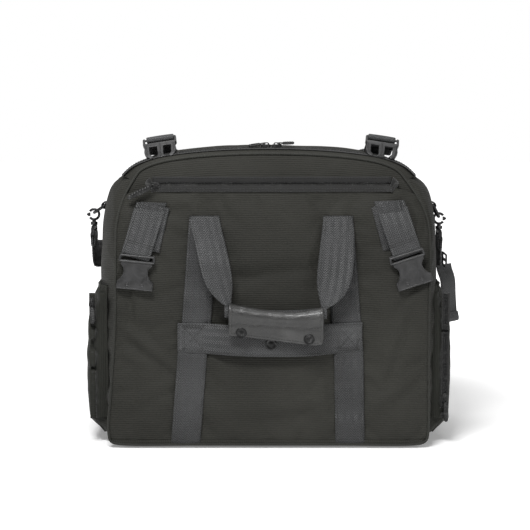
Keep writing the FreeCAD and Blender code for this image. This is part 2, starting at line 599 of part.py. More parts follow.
def top_strap(name, sgn):
    pts = [(82.0, 0.8), (-9.0, 0.8), (-37.8, 25.8), (-41.6, 25.9), (-45.9, 28.2), (-45.9, 32.4), (-43.2, 34.2),
           (-39.2, 33.9), (-9.8, 2.6), (60.0, 2.4), (82.0, 2.4)]
    hole = [(-43.9, 28.1), (-40.1, 28.1), (-40.1, 31.9), (-43.9, 31.9)]
    return pad(name, "YZ_Plane", list(reversed(pts)), ww - 2, holes=[hole], base=(sgn * TX, 0, TZ), rot=top_turn(sgn))


def male(name, sgn):
    """Plug: webbing bar, plate, two sprung prongs and a centre post, pointing down and forward."""
    hb = bw / 2
    shape = [(-hb + 1, 2.6), (hb - 1, 2.6), (hb, 1.0), (hb, -9.0), (hb - 2, -12.0), (hb - 1.0, -22.0), (hb - 4.0, -30.0),
             (hb - 9.0, -34.0), (hb - 12.0, -31.5), (hb - 8.0, -26.0), (hb - 7.5, -14.0), (4.0, -14.0), (3.5, -28.0),
             (5.5, -33.0), (-5.5, -33.0), (-3.5, -28.0), (-4.0, -14.0), (-hb + 7.5, -14.0), (-hb + 8.0, -26.0),
             (-hb + 12.0, -31.5), (-hb + 9.0, -34.0), (-hb + 4.0, -30.0), (-hb + 1.0, -22.0), (-hb + 2, -12.0),
             (-hb, -9.0), (-hb, 1.0)]
    w1 = [(-hb + 3.0, -1.2), (hb - 3.0, -1.2), (hb - 3.0, -6.4), (-hb + 3.0, -6.4)]
    tiltx = Rotation(Vector(1, 0, 0), -42.0)
    plc = Placement(Vector(sgn * TX, 0, TZ), top_turn(sgn)).multiply(Placement(Vector(0, -42.0, 30.0), tiltx))
    slab = pad(name + "_slab", "XZ_Plane", shape, 7.0, holes=[w1])
    slab.Placement = plc
    f1 = box(name + "_f1", (0, 0, 0), (bw + 4, 4.0, 14))
    f1.Placement = plc.multiply(Placement(Vector(-hb - 2, -5.2, -7.6), Rotation()))
    f2 = box(name + "_f2", (0, 0, 0), (bw + 4, 4.0, 14))
    f2.Placement = plc.multiply(Placement(Vector(-hb - 2, 1.2, -7.6), Rotation()))
    f3 = box(name + "_f3", (0, 0, 0), (bw - 6.0, 6.0, 5.0))
    f3.Placement = plc.multiply(Placement(Vector(-hb + 3.0, -3.0, 1.2), Rotation()))
    return cut(name, slab, fuse(name + "_tool", f1, f2, f3))


top_strap_left = top_strap("top_strap_left", -1)
top_strap_right = top_strap("top_strap_right", 1)
buckle_male_left = male("buckle_male_left", -1)
buckle_male_right = male("buckle_male_right", 1)

# ---------------------------------------------------------------- rings and swivel hooks at the sides
rw = D["ring_wire"] / 2


def side_tab(name, sgn):
    pts = [(207.6, 322.5), (209.4, 324.0), (214.6, 314.0), (221.0, 310.0), (223.0, 307.5), (223.0, 302.0), (221.0, 300.2),
           (216.5, 300.0), (214.6, 303.0), (213.6, 309.0), (211.6, 313.5)]
    hole = [(216.0, 302.4), (221.2, 302.4), (221.2, 307.6), (216.0, 307.6)]
    if sgn < 0:
        pts = [(-x, z) for x, z in reversed(pts)]
        hole = [(-x, z) for x, z in reversed(hole)]
    return pad(name, "XZ_Plane", pts, 28.0, holes=[hole])


RB = (218.6, 0.0, 305.0)
RT = {-1: 56.0, 1: 30.0}


def ring_frame(sgn):
    """Local Y along the bar, local -Z down the ring, swung outwards."""
    return Placement(Vector(sgn * RB[0], 0, RB[2]), Rotation(Vector(0, 1, 0), -sgn * RT[sgn]))


def d_ring(name, sgn):
    fr = ring_frame(sgn)
    half = D["ring_width"] / 2 - rw
    bar = cylinder(name + "_bar", rw, 2 * half, (0, -half, 0), (0, 1, 0), {"Radius": "dims.ring_wire / 2"})
    bar.Placement = fr.multiply(Placement(Vector(0, -half, 0), Rotation(Vector(0, 0, 1), Vector(0, 1, 0))))
    tor = doc.addObject("Part::Torus", name + "_bow")
    tor.Radius1, tor.Radius2, tor.Angle3 = half, rw, 180
    tor.setExpression("Radius2", "dims.ring_wire / 2")
    tor.Placement = fr.multiply(Placement(Vector(0, 0, 0), Rotation(Vector(1, 0, 0), Vector(0, 1, 0), Vector(-0.0, 0, 1), "ZXY")))
    # bow lies in the local YZ plane, below the bar
    tor.Placement = fr.multiply(Placement(Vector(0, 0, 0), Rotation(Vector(0, 1, 0), 90) * Rotation(Vector(0, 0, 1), -90)))
    balls = []
    for k in (-1, 1):
        b = doc.addObject("Part::Sphere", name + "_ball%d" % (k + 1))
        b.Radius = rw
        b.Placement = fr.multiply(Placement(Vector(0, k * half, 0), Rotation()))
        balls.append(b)
    return fuse(name, bar, tor, *balls)


ring_tab_left = side_tab("ring_tab_left", -1)
ring_tab_right = side_tab("ring_tab_right", 1)
d_ring_left = d_ring("d_ring_left", -1)
d_ring_right = d_ring("d_ring_right", 1)


def hook_centre(sgn):
    p = ring_frame(sgn).multVec(Vector(0, 0, -(D["ring_width"] / 2 - rw)))
    return Vector(p.x + sgn * 0.5, 0, p.z - 2.4)


def hook(name, sgn):
    c = hook_centre(sgn)
    tor = doc.addObject("Part::Torus", name + "_eye")
    tor.Radius1, tor.Radius2, tor.Angle3 = 6.8, 1.7, 288
    spin = 36 if sgn > 0 else 180 + 36
    tor.Placement = Placement(c, Rotation(Vector(1, 0, 0), 90) * Rotation(Vector(0, 0, 1), spin))
    neck = cylinder(name + "_neck", 2.6, 9.0, (c.x, 0, c.z - 15.5), (0, 0, 1))
    collar = cylinder(name + "_collar", 4.6, 4.0, (c.x, 0, c.z - 14.0), (0, 0, 1))
    fr = pad(name + "_frame", "YZ_Plane", [(-22.0, -17.5), (-22.0, -26.0), (22.0, -26.0), (22.0, -17.5), (14.0, -14.5), (-14.0, -14.5)],
             4.0, holes=[[(-19.6, -19.0), (-19.6, -23.8), (19.6, -23.8), (19.6, -19.0)]], base=(c.x, 0, c.z))
    return fuse(name, tor, neck, collar, fr)


hook_body_left = hook("hook_body_left", -1)
hook_body_right = hook("hook_body_right", 1)


def gate(name, sgn):
    c = hook_centre(sgn)
    pts = [(4.9, -2.5), (7.3, -2.5), (9.6, -0.6), (9.6, 0.8), (7.3, 2.5), (4.9, 2.5)]
    if sgn < 0:
        pts = [(-x, z) for x, z in reversed(pts)]
    return pad(name, "XZ_Plane", pts, 3.2, base=(c.x, 0, c.z))


hook_gate_left = gate("hook_gate_left", -1)
hook_gate_right = gate("hook_gate_right", 1)

# ---------------------------------------------------------------- shoulder strap, hanging behind the bag
cL, cR = hook_centre(-1), hook_centre(1)


def strap_stations(rows):
    st = []
    for k, (c, n) in enumerate(rows):
        a = Vector(*rows[max(0, k - 1)][0])
        b = Vector(*rows[min(len(rows) - 1, k + 1)][0])
        d = b - a
        n = Vector(*n)
        n = n - d * (n.dot(d) / d.dot(d))
        u = d.cross(n)
        st.append((c, (u.x, u.y, u.z), (n.x, n.y, n.z), ww))
    return st


left_rows = [((cL.x, 0.5, cL.z - 31.0), (-1, 0, 0)), ((cL.x - 0.5, 2.5, cL.z - 46), (-1, 0, 0)),
             ((-236.0, 46, 236), (-1, 0.1, 0)), ((-227.0, 92, 229), (-0.9, 0.4, 0)), ((-206.0, 124, 206), (-0.6, 0.8, 0)),
             ((-168.0, 142, 164), (-0.25, 1, 0)), ((-110.0, 148, 122), (-0.05, 1, 0)), ((-45.0, 148.5, 99), (0, 1, 0))]
right_rows = [((x * -1, y, z), (nx * -1, ny, nz)) for (x, y, z), (nx, ny, nz) in left_rows]
right_rows[0] = ((cR.x, 0.5, cR.z - 31.0), (1, 0, 0))
right_rows[1] = ((cR.x + 0.6, 2.5, cR.z - 44), (1, 0, 0))
rows = left_rows + list(reversed(right_rows))
shoulder_strap = ribbon("shoulder_strap", strap_stations(rows), wt)

tail_rows = [((cR.x + 6.6, -6.0, 219.0), (1, -0.1, 0)), ((240.4, -9.0, 205.0), (1, -0.1, 0)), ((241.4, -13.0, 180.0), (1, -0.1, 0)),
             ((242.6, -17.0, 152.0), (1, -0.1, 0))]
strap_tail = ribbon("strap_tail", [(c, u, n, 30.0) for c, u, n, w in strap_stations(tail_rows)], wt)
gp = [(-22.5, -9.0), (-22.5, 9.0), (22.5, 9.0), (22.5, -9.0)]
gh1 = [(-19.5, -7.0), (-19.5, -1.6), (19.5, -1.6), (19.5, -7.0)]
gh2 = [(-19.5, 1.6), (-19.5, 7.0), (19.5, 7.0), (19.5, 1.6)]
strap_slider = pad("strap_slider", "YZ_Plane", gp, 2.4, holes=[gh1, gh2], base=(cR.x + 7.6, -3.0, 232.0))

doc.recompute()

NODES = ["front_wall", "front_pocket_panel", "back_panel", "left_gusset", "right_gusset", "base_panel", "lid_panel",
         "base_board", "divider_left", "divider_right", "left_side_pocket", "right_side_pocket", "front_piping",
         "back_piping", "main_zip_front_tape", "main_zip_lid_tape", "main_slider_left", "main_slider_right",
         "main_pull_left", "main_pull_right", "pocket_zip_tape", "pocket_slider", "pocket_pull", "left_zip_tape",
         "left_slider", "left_pull", "right_zip_tape", "right_slider", "right_pull", "carry_web_left",
         "carry_web_right", "cross_strap", "cross_snap", "front_handle_web", "handle_grip", "grip_snaps",
         "rear_handle_web", "front_tabs", "front_strap_left", "front_strap_right", "buckle_female_left",
         "buckle_female_right", "top_strap_left", "top_strap_right", "buckle_male_left", "buckle_male_right",
         "ring_tab_left", "ring_tab_right", "d_ring_left", "d_ring_right", "hook_body_left", "hook_body_right",
         "hook_gate_left", "hook_gate_right", "shoulder_strap", "strap_tail", "strap_slider", "feet"]

bad = []
for o in doc.Objects:
    if "Invalid" in o.State or "Error" in o.State:
        bad.append(o.Name + " " + str(o.State))
if bad:
    raise RuntimeError("failed objects: " + ", ".join(bad))

os.makedirs("parts", exist_ok=True)
for old in os.listdir("parts"):
    if old.endswith(".step"):
        os.remove(os.path.join("parts", old))
whole = None
for name in NODES:
    o = globals()[name]
    o.Label = name
    s = o.Shape
    if s.isNull() or not s.isValid() or not s.Solids:
        raise RuntimeError("bad shape: " + name)
    if s.ShapeType != "Solid":
        s = s.Solids[0] if len(s.Solids) == 1 else Part.makeCompound(s.Solids)
    whole = s.BoundBox if whole is None else whole
    whole.add(s.BoundBox)
    b = s.BoundBox
    print("%-22s solids %d vol %9.0f  x %7.1f %7.1f  y %7.1f %7.1f  z %7.1f %7.1f" % (
        name, len(s.Solids), s.Volume, b.XMin, b.XMax, b.YMin, b.YMax, b.ZMin, b.ZMax))
    s.exportStep(os.path.join("parts", name + ".step"))
print("box", whole)
tl = [Placement(Vector(q * TX, 0, TZ), top_turn(q)).multVec(Vector(0, -42.0, 30.0)) for q in (-1, 1)]
print("plugs", tl, "strap tops", local(SL, AL, (0, -1.9, 0)), local(SR, AR, (0, -1.9, 0)), "handle", front_y(wz) - wt - 0.8,
      back_y(wz) + wt + 0.9, "pull", sz, pull_y, side_pull_y)
print("hook centres", cL, cR, "buckles", BL, BR, "lean", lean)
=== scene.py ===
"""Soft flight bag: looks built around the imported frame. Lengths in the code are millimetres unless noted."""
import json
import math

import bmesh
import bpy
import numpy as np
from mathutils import Matrix, Vector, noise
from mathutils.bvhtree import BVHTree

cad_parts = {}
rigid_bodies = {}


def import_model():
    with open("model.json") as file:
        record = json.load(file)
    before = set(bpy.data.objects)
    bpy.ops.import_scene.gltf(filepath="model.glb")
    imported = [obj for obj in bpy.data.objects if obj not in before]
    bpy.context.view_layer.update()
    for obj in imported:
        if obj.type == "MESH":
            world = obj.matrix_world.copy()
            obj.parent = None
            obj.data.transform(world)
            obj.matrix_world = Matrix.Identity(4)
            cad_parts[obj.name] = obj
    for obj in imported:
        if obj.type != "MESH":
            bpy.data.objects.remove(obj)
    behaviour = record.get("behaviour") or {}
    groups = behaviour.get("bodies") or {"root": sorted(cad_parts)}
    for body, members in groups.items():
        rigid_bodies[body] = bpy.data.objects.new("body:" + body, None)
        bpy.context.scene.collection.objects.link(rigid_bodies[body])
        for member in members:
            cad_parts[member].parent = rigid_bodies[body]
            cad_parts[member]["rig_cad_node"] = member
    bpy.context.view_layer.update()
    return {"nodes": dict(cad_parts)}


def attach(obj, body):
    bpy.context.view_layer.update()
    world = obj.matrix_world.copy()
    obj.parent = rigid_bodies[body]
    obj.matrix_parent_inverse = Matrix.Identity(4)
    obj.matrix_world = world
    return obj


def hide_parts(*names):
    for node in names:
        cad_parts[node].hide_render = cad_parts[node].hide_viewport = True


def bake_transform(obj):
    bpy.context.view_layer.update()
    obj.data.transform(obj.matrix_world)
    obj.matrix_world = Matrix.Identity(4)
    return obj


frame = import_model()
NODES = frame["nodes"]
K = 0.001
rng = np.random.RandomState(7)
V3 = lambda *a: np.array(a, float)


# ------------------------------------------------------------------ node materials
class Mat:
    def __init__(self, name, rough=0.6, metallic=0.0, spec=0.5, sheen=0.0, coat=0.0, sheen_rough=0.5):
        self.m = bpy.data.materials.new(name)
        self.m.use_nodes = True
        self.t = self.m.node_tree
        self.b = self.t.nodes["Principled BSDF"]
        self.b.inputs["Roughness"].default_value = rough
        self.b.inputs["Metallic"].default_value = metallic
        self.b.inputs["Specular IOR Level"].default_value = spec
        self.b.inputs["Sheen Weight"].default_value = sheen
        self.b.inputs["Sheen Roughness"].default_value = sheen_rough
        self.b.inputs["Coat Weight"].default_value = coat

    def node(self, kind, **sockets):
        n = self.t.nodes.new(kind)
        for k, v in sockets.items():
            if k.startswith("_"):
                setattr(n, k[1:], v)
            else:
                s = n.inputs[int(k[1:])] if k[0] == "i" and k[1:].isdigit() else n.inputs[k]
                self.put(s, v)
        return n

    def put(self, socket, v):
        if isinstance(v, bpy.types.NodeSocket):
            self.t.links.new(v, socket)
        else:
            socket.default_value = v

    def math(self, op, a, b=0.0, c=None):
        n = self.node("ShaderNodeMath", _operation=op)
        self.put(n.inputs[0], a)
        self.put(n.inputs[1], b)
        if c is not None:
            self.put(n.inputs[2], c)
        return n.outputs[0]

    def coords(self, uv):
        tc = self.node("ShaderNodeTexCoord")
        out = tc.outputs["UV" if uv else "Object"]
        s = self.node("ShaderNodeSeparateXYZ")
        self.put(s.inputs[0], out)
        return out, s.outputs[0], s.outputs[1], s.outputs[2], tc.outputs["Object"]

    def noise(self, vec, scale, detail=3.0, rough=0.55, dist=0.0):
        n = self.node("ShaderNodeTexNoise")
        self.put(n.inputs["Vector"], vec)
        n.inputs["Scale"].default_value = scale
        n.inputs["Detail"].default_value = detail
        n.inputs["Roughness"].default_value = rough
        n.inputs["Distortion"].default_value = dist
        return n.outputs["Fac"]

    def wave(self, x, period, phase=0.0):
        """0..1 sine of a coordinate in metres."""
        a = self.math("MULTIPLY", x, 2 * math.pi / period)
        if not (isinstance(phase, float) and phase == 0.0):
            a = self.math("ADD", a, phase)
        return self.math("MULTIPLY_ADD", self.math("SINE", a), 0.5, 0.5)

    def mix(self, f, a, b):
        n = self.node("ShaderNodeMix", _data_type="RGBA")
        self.put(n.inputs[0], f)
        for i, v in ((6, a), (7, b)):
            self.put(n.inputs[i], v if isinstance(v, bpy.types.NodeSocket) else (v[0], v[1], v[2], 1.0))
        return n.outputs[2]

    def remap(self, x, a, b, c, d):
        n = self.node("ShaderNodeMapRange")
        self.put(n.inputs[0], x)
        for i, v in enumerate((a, b, c, d)):
            n.inputs[i + 1].default_value = v
        return n.outputs[0]

    def bump(self, h, strength, distance, normal=None):
        n = self.node("ShaderNodeBump")
        n.inputs["Strength"].default_value = strength
        n.inputs["Distance"].default_value = distance
        self.put(n.inputs["Height"], h)
        if normal is not None:
            self.put(n.inputs["Normal"], normal)
        return n.outputs[0]

    def done(self, color=None, rough=None, normal=None):
        if color is not None:
            self.put(self.b.inputs["Base Color"], color)
        if rough is not None:
            self.put(self.b.inputs["Roughness"], rough)
        if normal is not None:
            self.put(self.b.inputs["Normal"], normal)
        return self.m


def nylon(name, dark, light, period=0.0028, uv=True, swap=False, rough=0.62, sheen=0.25):
    """Ribbed pack cloth: raised weft ribs with fine warp yarns across them, lint and a soft large-scale fade."""
    m = Mat(name, rough=rough, sheen=sheen * 0.12, spec=0.13, sheen_rough=0.4)
    vec, u, v, w, obj = m.coords(uv)
    if not uv:
        u, v = (u, w)
    if swap:
        u, v = v, u
    wob = m.math("MULTIPLY", m.noise(obj, 38.0, 2.0), 1.6)
    rib = m.wave(v, period, wob)
    warp = m.wave(u, 0.00135, m.math("MULTIPLY", m.noise(obj, 90.0, 1.0), 2.0))
    cell = m.math("MULTIPLY", rib, m.math("MULTIPLY_ADD", warp, 0.55, 0.45))
    big = m.remap(m.noise(obj, 5.5, 3.0), 0.35, 0.7, 0.0, 1.0)
    yarn = m.remap(m.noise(vec if uv else obj, 420.0, 2.0), 0.3, 0.75, 0.0, 1.0)
    f = m.math("MULTIPLY_ADD", cell, 0.62, m.math("MULTIPLY", yarn, 0.38))
    col = m.mix(f, dark, light)
    col = m.mix(m.math("MULTIPLY", big, 0.35), col, tuple(c * 1.35 for c in light))
    lint = m.remap(m.noise(obj, 900.0, 1.0, 0.4), 0.78, 0.84, 0.0, 0.25)
    col = m.mix(lint, col, (0.20, 0.20, 0.19))
    h = m.math("ADD", m.math("MULTIPLY", cell, 0.8), m.math("MULTIPLY", yarn, 0.35))
    n1 = m.bump(m.noise(obj, 26.0, 4.0, 0.6), 0.35, 0.004)
    return m.done(col, m.remap(yarn, 0, 1, rough - 0.07, rough + 0.12), m.bump(h, 0.55, 0.0007, n1))


def webbing(name, dark, light, rough=0.5, sheen=0.3):
    """Herringbone nylon webbing. UV u runs across the tape and v along it, in metres."""
    m = Mat(name, rough=rough, sheen=sheen * 0.3, spec=0.42, sheen_rough=0.35)
    vec, u, v, w, obj = m.coords(True)
    tri = m.math("PINGPONG", m.math("ADD", u, 0.1), 0.0048)
    diag = m.math("ADD", v, m.math("MULTIPLY", tri, 1.15))
    twill = m.wave(diag, 0.0033, m.math("MULTIPLY", m.noise(obj, 120.0, 1.0), 1.2))
    cols = m.wave(u, 0.0024)
    yarn = m.remap(m.noise(obj, 650.0, 2.0), 0.3, 0.75, 0.0, 1.0)
    f = m.math("MULTIPLY_ADD", twill, 0.72, m.math("MULTIPLY", yarn, 0.28))
    col = m.mix(f, dark, light)
    wear = m.remap(m.noise(obj, 14.0, 3.0), 0.45, 0.75, 0.0, 0.4)
    col = m.mix(wear, col, tuple(c * 1.5 for c in light))
    h = m.math("ADD", m.math("MULTIPLY", twill, 0.9), m.math("MULTIPLY", cols, 0.25))
    n1 = m.bump(m.noise(obj, 60.0, 2.0), 0.2, 0.002)
    return m.done(col, m.remap(f, 0, 1, rough + 0.12, rough - 0.08), m.bump(h, 0.7, 0.0007, n1))


def leather(name, dark, light):
    m = Mat(name, rough=0.36, spec=0.55, coat=0.12)
    vec, u, v, w, obj = m.coords(False)
    vor = m.node("ShaderNodeTexVoronoi", Vector=obj, Scale=620.0, _feature="DISTANCE_TO_EDGE")
    cells = m.remap(vor.outputs["Distance"], 0.0, 0.35, 0.0, 1.0)
    fine = m.noise(obj, 1500.0, 2.0)
    crease = m.remap(m.noise(obj, 55.0, 4.0, 0.6, 0.6), 0.42, 0.6, 0.0, 1.0)
    col = m.mix(m.math("MULTIPLY", cells, 0.7), dark, light)
    col = m.mix(m.math("MULTIPLY", m.remap(m.noise(obj, 30.0, 3.0), 0.5, 0.75, 0, 1), 0.45), col, tuple(c * 1.8 for c in light))
    h = m.math("ADD", cells, m.math("MULTIPLY", fine, 0.35))
    n1 = m.bump(crease, 0.25, 0.0016)
    return m.done(col, m.remap(m.noise(obj, 80.0, 3.0), 0.3, 0.7, 0.30, 0.50), m.bump(h, 0.35, 0.0004, n1))


def plastic(name, dark, light, rough=0.42, grain=2400.0, spec=0.5):
    """Moulded acetal: fine spark texture, faint flow shading and slightly scuffed tone."""
    m = Mat(name, rough=rough, spec=spec)
    vec, u, v, w, obj = m.coords(False)
    g = m.noise(obj, grain, 2.0)
    flow = m.remap(m.noise(obj, 60.0, 3.0, 0.6, 0.8), 0.35, 0.7, 0.0, 1.0)
    scuff = m.remap(m.noise(obj, 340.0, 4.0, 0.75), 0.60, 0.74, 0.0, 0.35)
    col = m.mix(flow, dark, light)
    col = m.mix(scuff, col, tuple(min(1.0, c * 2.4) for c in light))
    return m.done(col, m.remap(flow, 0, 1, rough - 0.08, rough + 0.12), m.bump(g, 0.18, 0.0003))


def metal(name, dark, light, rough=0.32, metallic=0.85):
    """Blackened hardware: thin coat with brushed micro-lines and rubbed bright spots."""
    m = Mat(name, rough=rough, metallic=metallic, spec=0.5)
    vec, u, v, w, obj = m.coords(False)
    g = m.noise(obj, 1800.0, 2.0)
    rub = m.remap(m.noise(obj, 160.0, 4.0, 0.7), 0.5, 0.7, 0.0, 0.8)
    col = m.mix(rub, dark, light)
    return m.done(col, m.remap(g, 0.3, 0.7, rough - 0.06, rough + 0.14), m.bump(g, 0.12, 0.0002))


def tape(name, dark, light):
    """Zip tape: tight flat rib weave, UV in metres."""
    m = Mat(name, rough=0.7, sheen=0.2, spec=0.35)
    vec, u, v, w, obj = m.coords(True)
    a = m.wave(v, 0.0014)
    b = m.wave(u, 0.0011)
    f = m.math("MULTIPLY", a, m.math("MULTIPLY_ADD", b, 0.5, 0.5))
    y = m.noise(obj, 500.0, 2.0)
    col = m.mix(m.math("MULTIPLY_ADD", f, 0.6, m.math("MULTIPLY", y, 0.4)), dark, light)
    return m.done(col, None, m.bump(m.math("ADD", f, y), 0.4, 0.0004))


M_SHELL = nylon("shell_nylon", (0.0088, 0.0088, 0.0074), (0.037, 0.0366, 0.0315))
M_LID = nylon("lid_nylon", (0.0088, 0.0088, 0.0074), (0.033, 0.0327, 0.028))
M_POCKET = nylon("pocket_nylon", (0.0095, 0.0097, 0.0082), (0.030, 0.031, 0.026), period=0.0024)
M_LINING = nylon("lining_cloth", (0.020, 0.020, 0.020), (0.045, 0.045, 0.044), period=0.0016, uv=False)
M_PIPE = nylon("piping_cloth", (0.012, 0.0122, 0.0105), (0.038, 0.0385, 0.034), period=0.0022, rough=0.5)
M_WEB = webbing("webbing_carry", (0.0035, 0.0036, 0.0037), (0.038, 0.039, 0.040))
M_STRAP = webbing("webbing_strap", (0.0040, 0.0041, 0.0042), (0.054, 0.0553, 0.0565))
M_LEATHER = leather("leather_grip", (0.014, 0.014, 0.0135), (0.040, 0.040, 0.039))
M_PLASTIC = plastic("acetal_black", (0.014, 0.014, 0.014), (0.030, 0.030, 0.031))
M_METAL = metal("hardware_black", (0.030, 0.030, 0.031), (0.13, 0.13, 0.13))
M_ZIP = metal("zip_black", (0.020, 0.020, 0.020), (0.075, 0.075, 0.074), rough=0.38, metallic=0.6)
M_SNAP = metal("snap_black", (0.022, 0.022, 0.022), (0.09, 0.09, 0.09), rough=0.28, metallic=0.8)
M_TAPE = tape("zip_tape_weave", (0.005, 0.005, 0.005), (0.016, 0.016, 0.015))
M_THREAD = tape("sewing_thread", (0.008, 0.008, 0.008), (0.040, 0.040, 0.039))
M_BOARD = plastic("board_grain", (0.020, 0.020, 0.020), (0.040, 0.040, 0.040), rough=0.6, grain=900.0)
M_RUBBER = plastic("foot_rubber_grain", (0.012, 0.012, 0.012), (0.022, 0.022, 0.022), rough=0.75, grain=1400.0, spec=0.3)


# ------------------------------------------------------------------ mesh helpers
def interp(table, x):
    xs, ys = zip(*table)
    return float(np.interp(x, xs, ys))


def smooth(table, x):
    """Monotone-ish cubic through (x, y) rows."""
    xs = np.array([r[0] for r in table], float)
    ys = np.array([r[1] for r in table], float)
    x = min(max(x, xs[0]), xs[-1])
    i = int(min(max(np.searchsorted(xs, x) - 1, 0), len(xs) - 2))
    h = xs[i + 1] - xs[i]
    t = (x - xs[i]) / h
    d = np.gradient(ys, xs)
    sl = (ys[i + 1] - ys[i]) / h
    m0, m1 = d[i], d[i + 1]
    if sl == 0:
        m0 = m1 = 0
    a, b = (m0 * h, m1 * h)
    return float((2 * t ** 3 - 3 * t * t + 1) * ys[i] + (t ** 3 - 2 * t * t + t) * a + (-2 * t ** 3 + 3 * t * t) * ys[i + 1]
                 + (t ** 3 - t * t) * b)


def curve(pts, n, closed=False):
    """Centripetal-like Catmull-Rom through points, resampled to n evenly spaced points."""
    p = [np.array(q, float) for q in pts]
    if closed:
        p = [p[-1]] + p + [p[0], p[1]]
    else:
        p = [2 * p[0] - p[1]] + p + [2 * p[-1] - p[-2]]
    out = []
    for i in range(1, len(p) - 2):
        a, b, c, d = p[i - 1:i + 3]
        for k in range(16):
            t = k / 16
            t0 = 0.0
            t1 = t0 + max(1e-6, np.linalg.norm(b - a)) ** 0.5
            t2 = t1 + max(1e-6, np.linalg.norm(c - b)) ** 0.5
            t3 = t2 + max(1e-6, np.linalg.norm(d - c)) ** 0.5
            T = t1 + (t2 - t1) * t
            A1 = (t1 - T) / (t1 - t0) * a + (T - t0) / (t1 - t0) * b
            A2 = (t2 - T) / (t2 - t1) * b + (T - t1) / (t2 - t1) * c
            A3 = (t3 - T) / (t3 - t2) * c + (T - t2) / (t3 - t2) * d
            B1 = (t2 - T) / (t2 - t0) * A1 + (T - t0) / (t2 - t0) * A2
            B2 = (t3 - T) / (t3 - t1) * A2 + (T - t1) / (t3 - t1) * A3
            out.append((t2 - T) / (t2 - t1) * B1 + (T - t1) / (t2 - t1) * B2)
    out.append(p[-2])
    return even(out, n)


def even(pts, n):
    p = np.array(pts, float)
    s = np.concatenate([[0], np.cumsum(np.linalg.norm(np.diff(p, axis=0), axis=1))])
    q = np.linspace(0, s[-1], n)
    return np.stack([np.interp(q, s, p[:, k]) for k in range(p.shape[1])], 1)


def make(name, verts, faces, mats, uv=None, body="root", shade=True, face_mats=None):
    """Mesh object from millimetre points, smooth shaded, on its body. uv is one (u, v) in metres per vertex."""
    me = bpy.data.meshes.new(name)
    me.from_pydata([tuple(v) for v in (np.asarray(verts, float) * K)], [], [tuple(int(i) for i in f) for f in faces])
    for m in (mats if isinstance(mats, (list, tuple)) else [mats]):
        me.materials.append(m)
    if uv is not None:
        lay = me.uv_layers.new(name="UVMap")
        loops = np.zeros(len(me.loops), np.int32)
        me.loops.foreach_get("vertex_index", loops)
        lay.data.foreach_set("uv", np.asarray(uv, np.float32)[loops].ravel())
    if face_mats is not None:
        me.polygons.foreach_set("material_index", np.asarray(face_mats, np.int32))
    me.update()
    me.validate()
    if shade:
        me.shade_smooth()
    o = bpy.data.objects.new(name, me)
    bpy.context.scene.collection.objects.link(o)
    if body:
        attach(o, body)
    return o


def recalc(o):
    bm = bmesh.new()
    bm.from_mesh(o.data)
    bmesh.ops.recalc_face_normals(bm, faces=bm.faces)
    bm.to_mesh(o.data)
    bm.free()
    o.data.update()
    return o


def apply_mods(o):
    bpy.context.view_layer.update()
    dg = bpy.context.evaluated_depsgraph_get()
    me = bpy.data.meshes.new_from_object(o.evaluated_get(dg), preserve_all_data_layers=True, depsgraph=dg)
    o.modifiers.clear()
    o.data = me
    return o


def grid_faces(nu, nv, close_u=False, close_v=False):
    f = []
    for i in range(nu if close_u else nu - 1):
        for j in range(nv if close_v else nv - 1):
            a, b = i, (i + 1) % nu
            c, d = j, (j + 1) % nv
            f.append((a * nv + c, b * nv + c, b * nv + d, a * nv + d))
    return f


def arc_uv(P):
    """UV in metres for a grid of points: u along the first index, v along the second."""
    nu, nv = P.shape[:2]
    U = np.zeros((nu, nv))
    Vv = np.zeros((nu, nv))
    U[1:] = np.cumsum(np.linalg.norm(np.diff(P, axis=0), axis=2), 0)
    U -= U.mean(0, keepdims=True)
    Vv[:, 1:] = np.cumsum(np.linalg.norm(np.diff(P, axis=1), axis=2), 1)
    return np.stack([U, Vv], 2).reshape(-1, 2) * K


def sheet_obj(name, P, mat, body="root", flip=False, uv=None):
    P = np.asarray(P, float)
    nu, nv = P.shape[:2]
    f = grid_faces(nu, nv)
    # the shown side always faces away from the middle of the bag
    q00, q10, q01 = P[:-1, :-1], P[1:, :-1], P[:-1, 1:]
    a, b, c, d = (P.reshape(-1, 3)[k] for k in f[len(f) // 2])
    cr = np.cross(q10 - q00, q01 - q00)
    away = (q00 - np.array([0.0, 0.0, 190.0])) * cr
    grid_out = away.sum() > 0
    fn = np.cross(b - a, c - a)
    gi = cr[(len(f) // 2) // (nv - 1) if (len(f) // 2) // (nv - 1) < nu - 1 else nu - 2, (len(f) // 2) % (nv - 1)]
    same = float(np.dot(fn, gi)) > 0
    if grid_out != same:
        f = [tuple(reversed(q)) for q in f]
    return make(name, P.reshape(-1, 3), f, mat, arc_uv(P) if uv is None else uv, body)


def thicken(o, t, inner=None, offset=-1.0):
    if inner is not None:
        o.data.materials.append(inner)
    m = o.modifiers.new("thick", "SOLIDIFY")
    m.thickness = t * K
    m.offset = offset
    m.use_even_offset = False
    if inner is not None:
        m.material_offset = len(o.data.materials) - 1
        m.material_offset_rim = 0
    return apply_mods(o)


def subdiv(o, n=1):
    m = o.modifiers.new("sub", "SUBSURF")
    m.levels = m.render_levels = n
    return apply_mods(o)


def frames_along(path, ref):
    """Tangent, side and normal at each point, with normals near ref (one vector or one per point)."""
    p = np.asarray(path, float)
    t = np.gradient(p, axis=0)
    t /= np.maximum(1e-9, np.linalg.norm(t, axis=1))[:, None]
    ref = np.asarray(ref, float)
    if ref.ndim == 1:
        ref = np.tile(ref, (len(p), 1))
    n = ref - (ref * t).sum(1)[:, None] * t
    n /= np.maximum(1e-9, np.linalg.norm(n, axis=1))[:, None]
    return t, np.cross(t, n), n


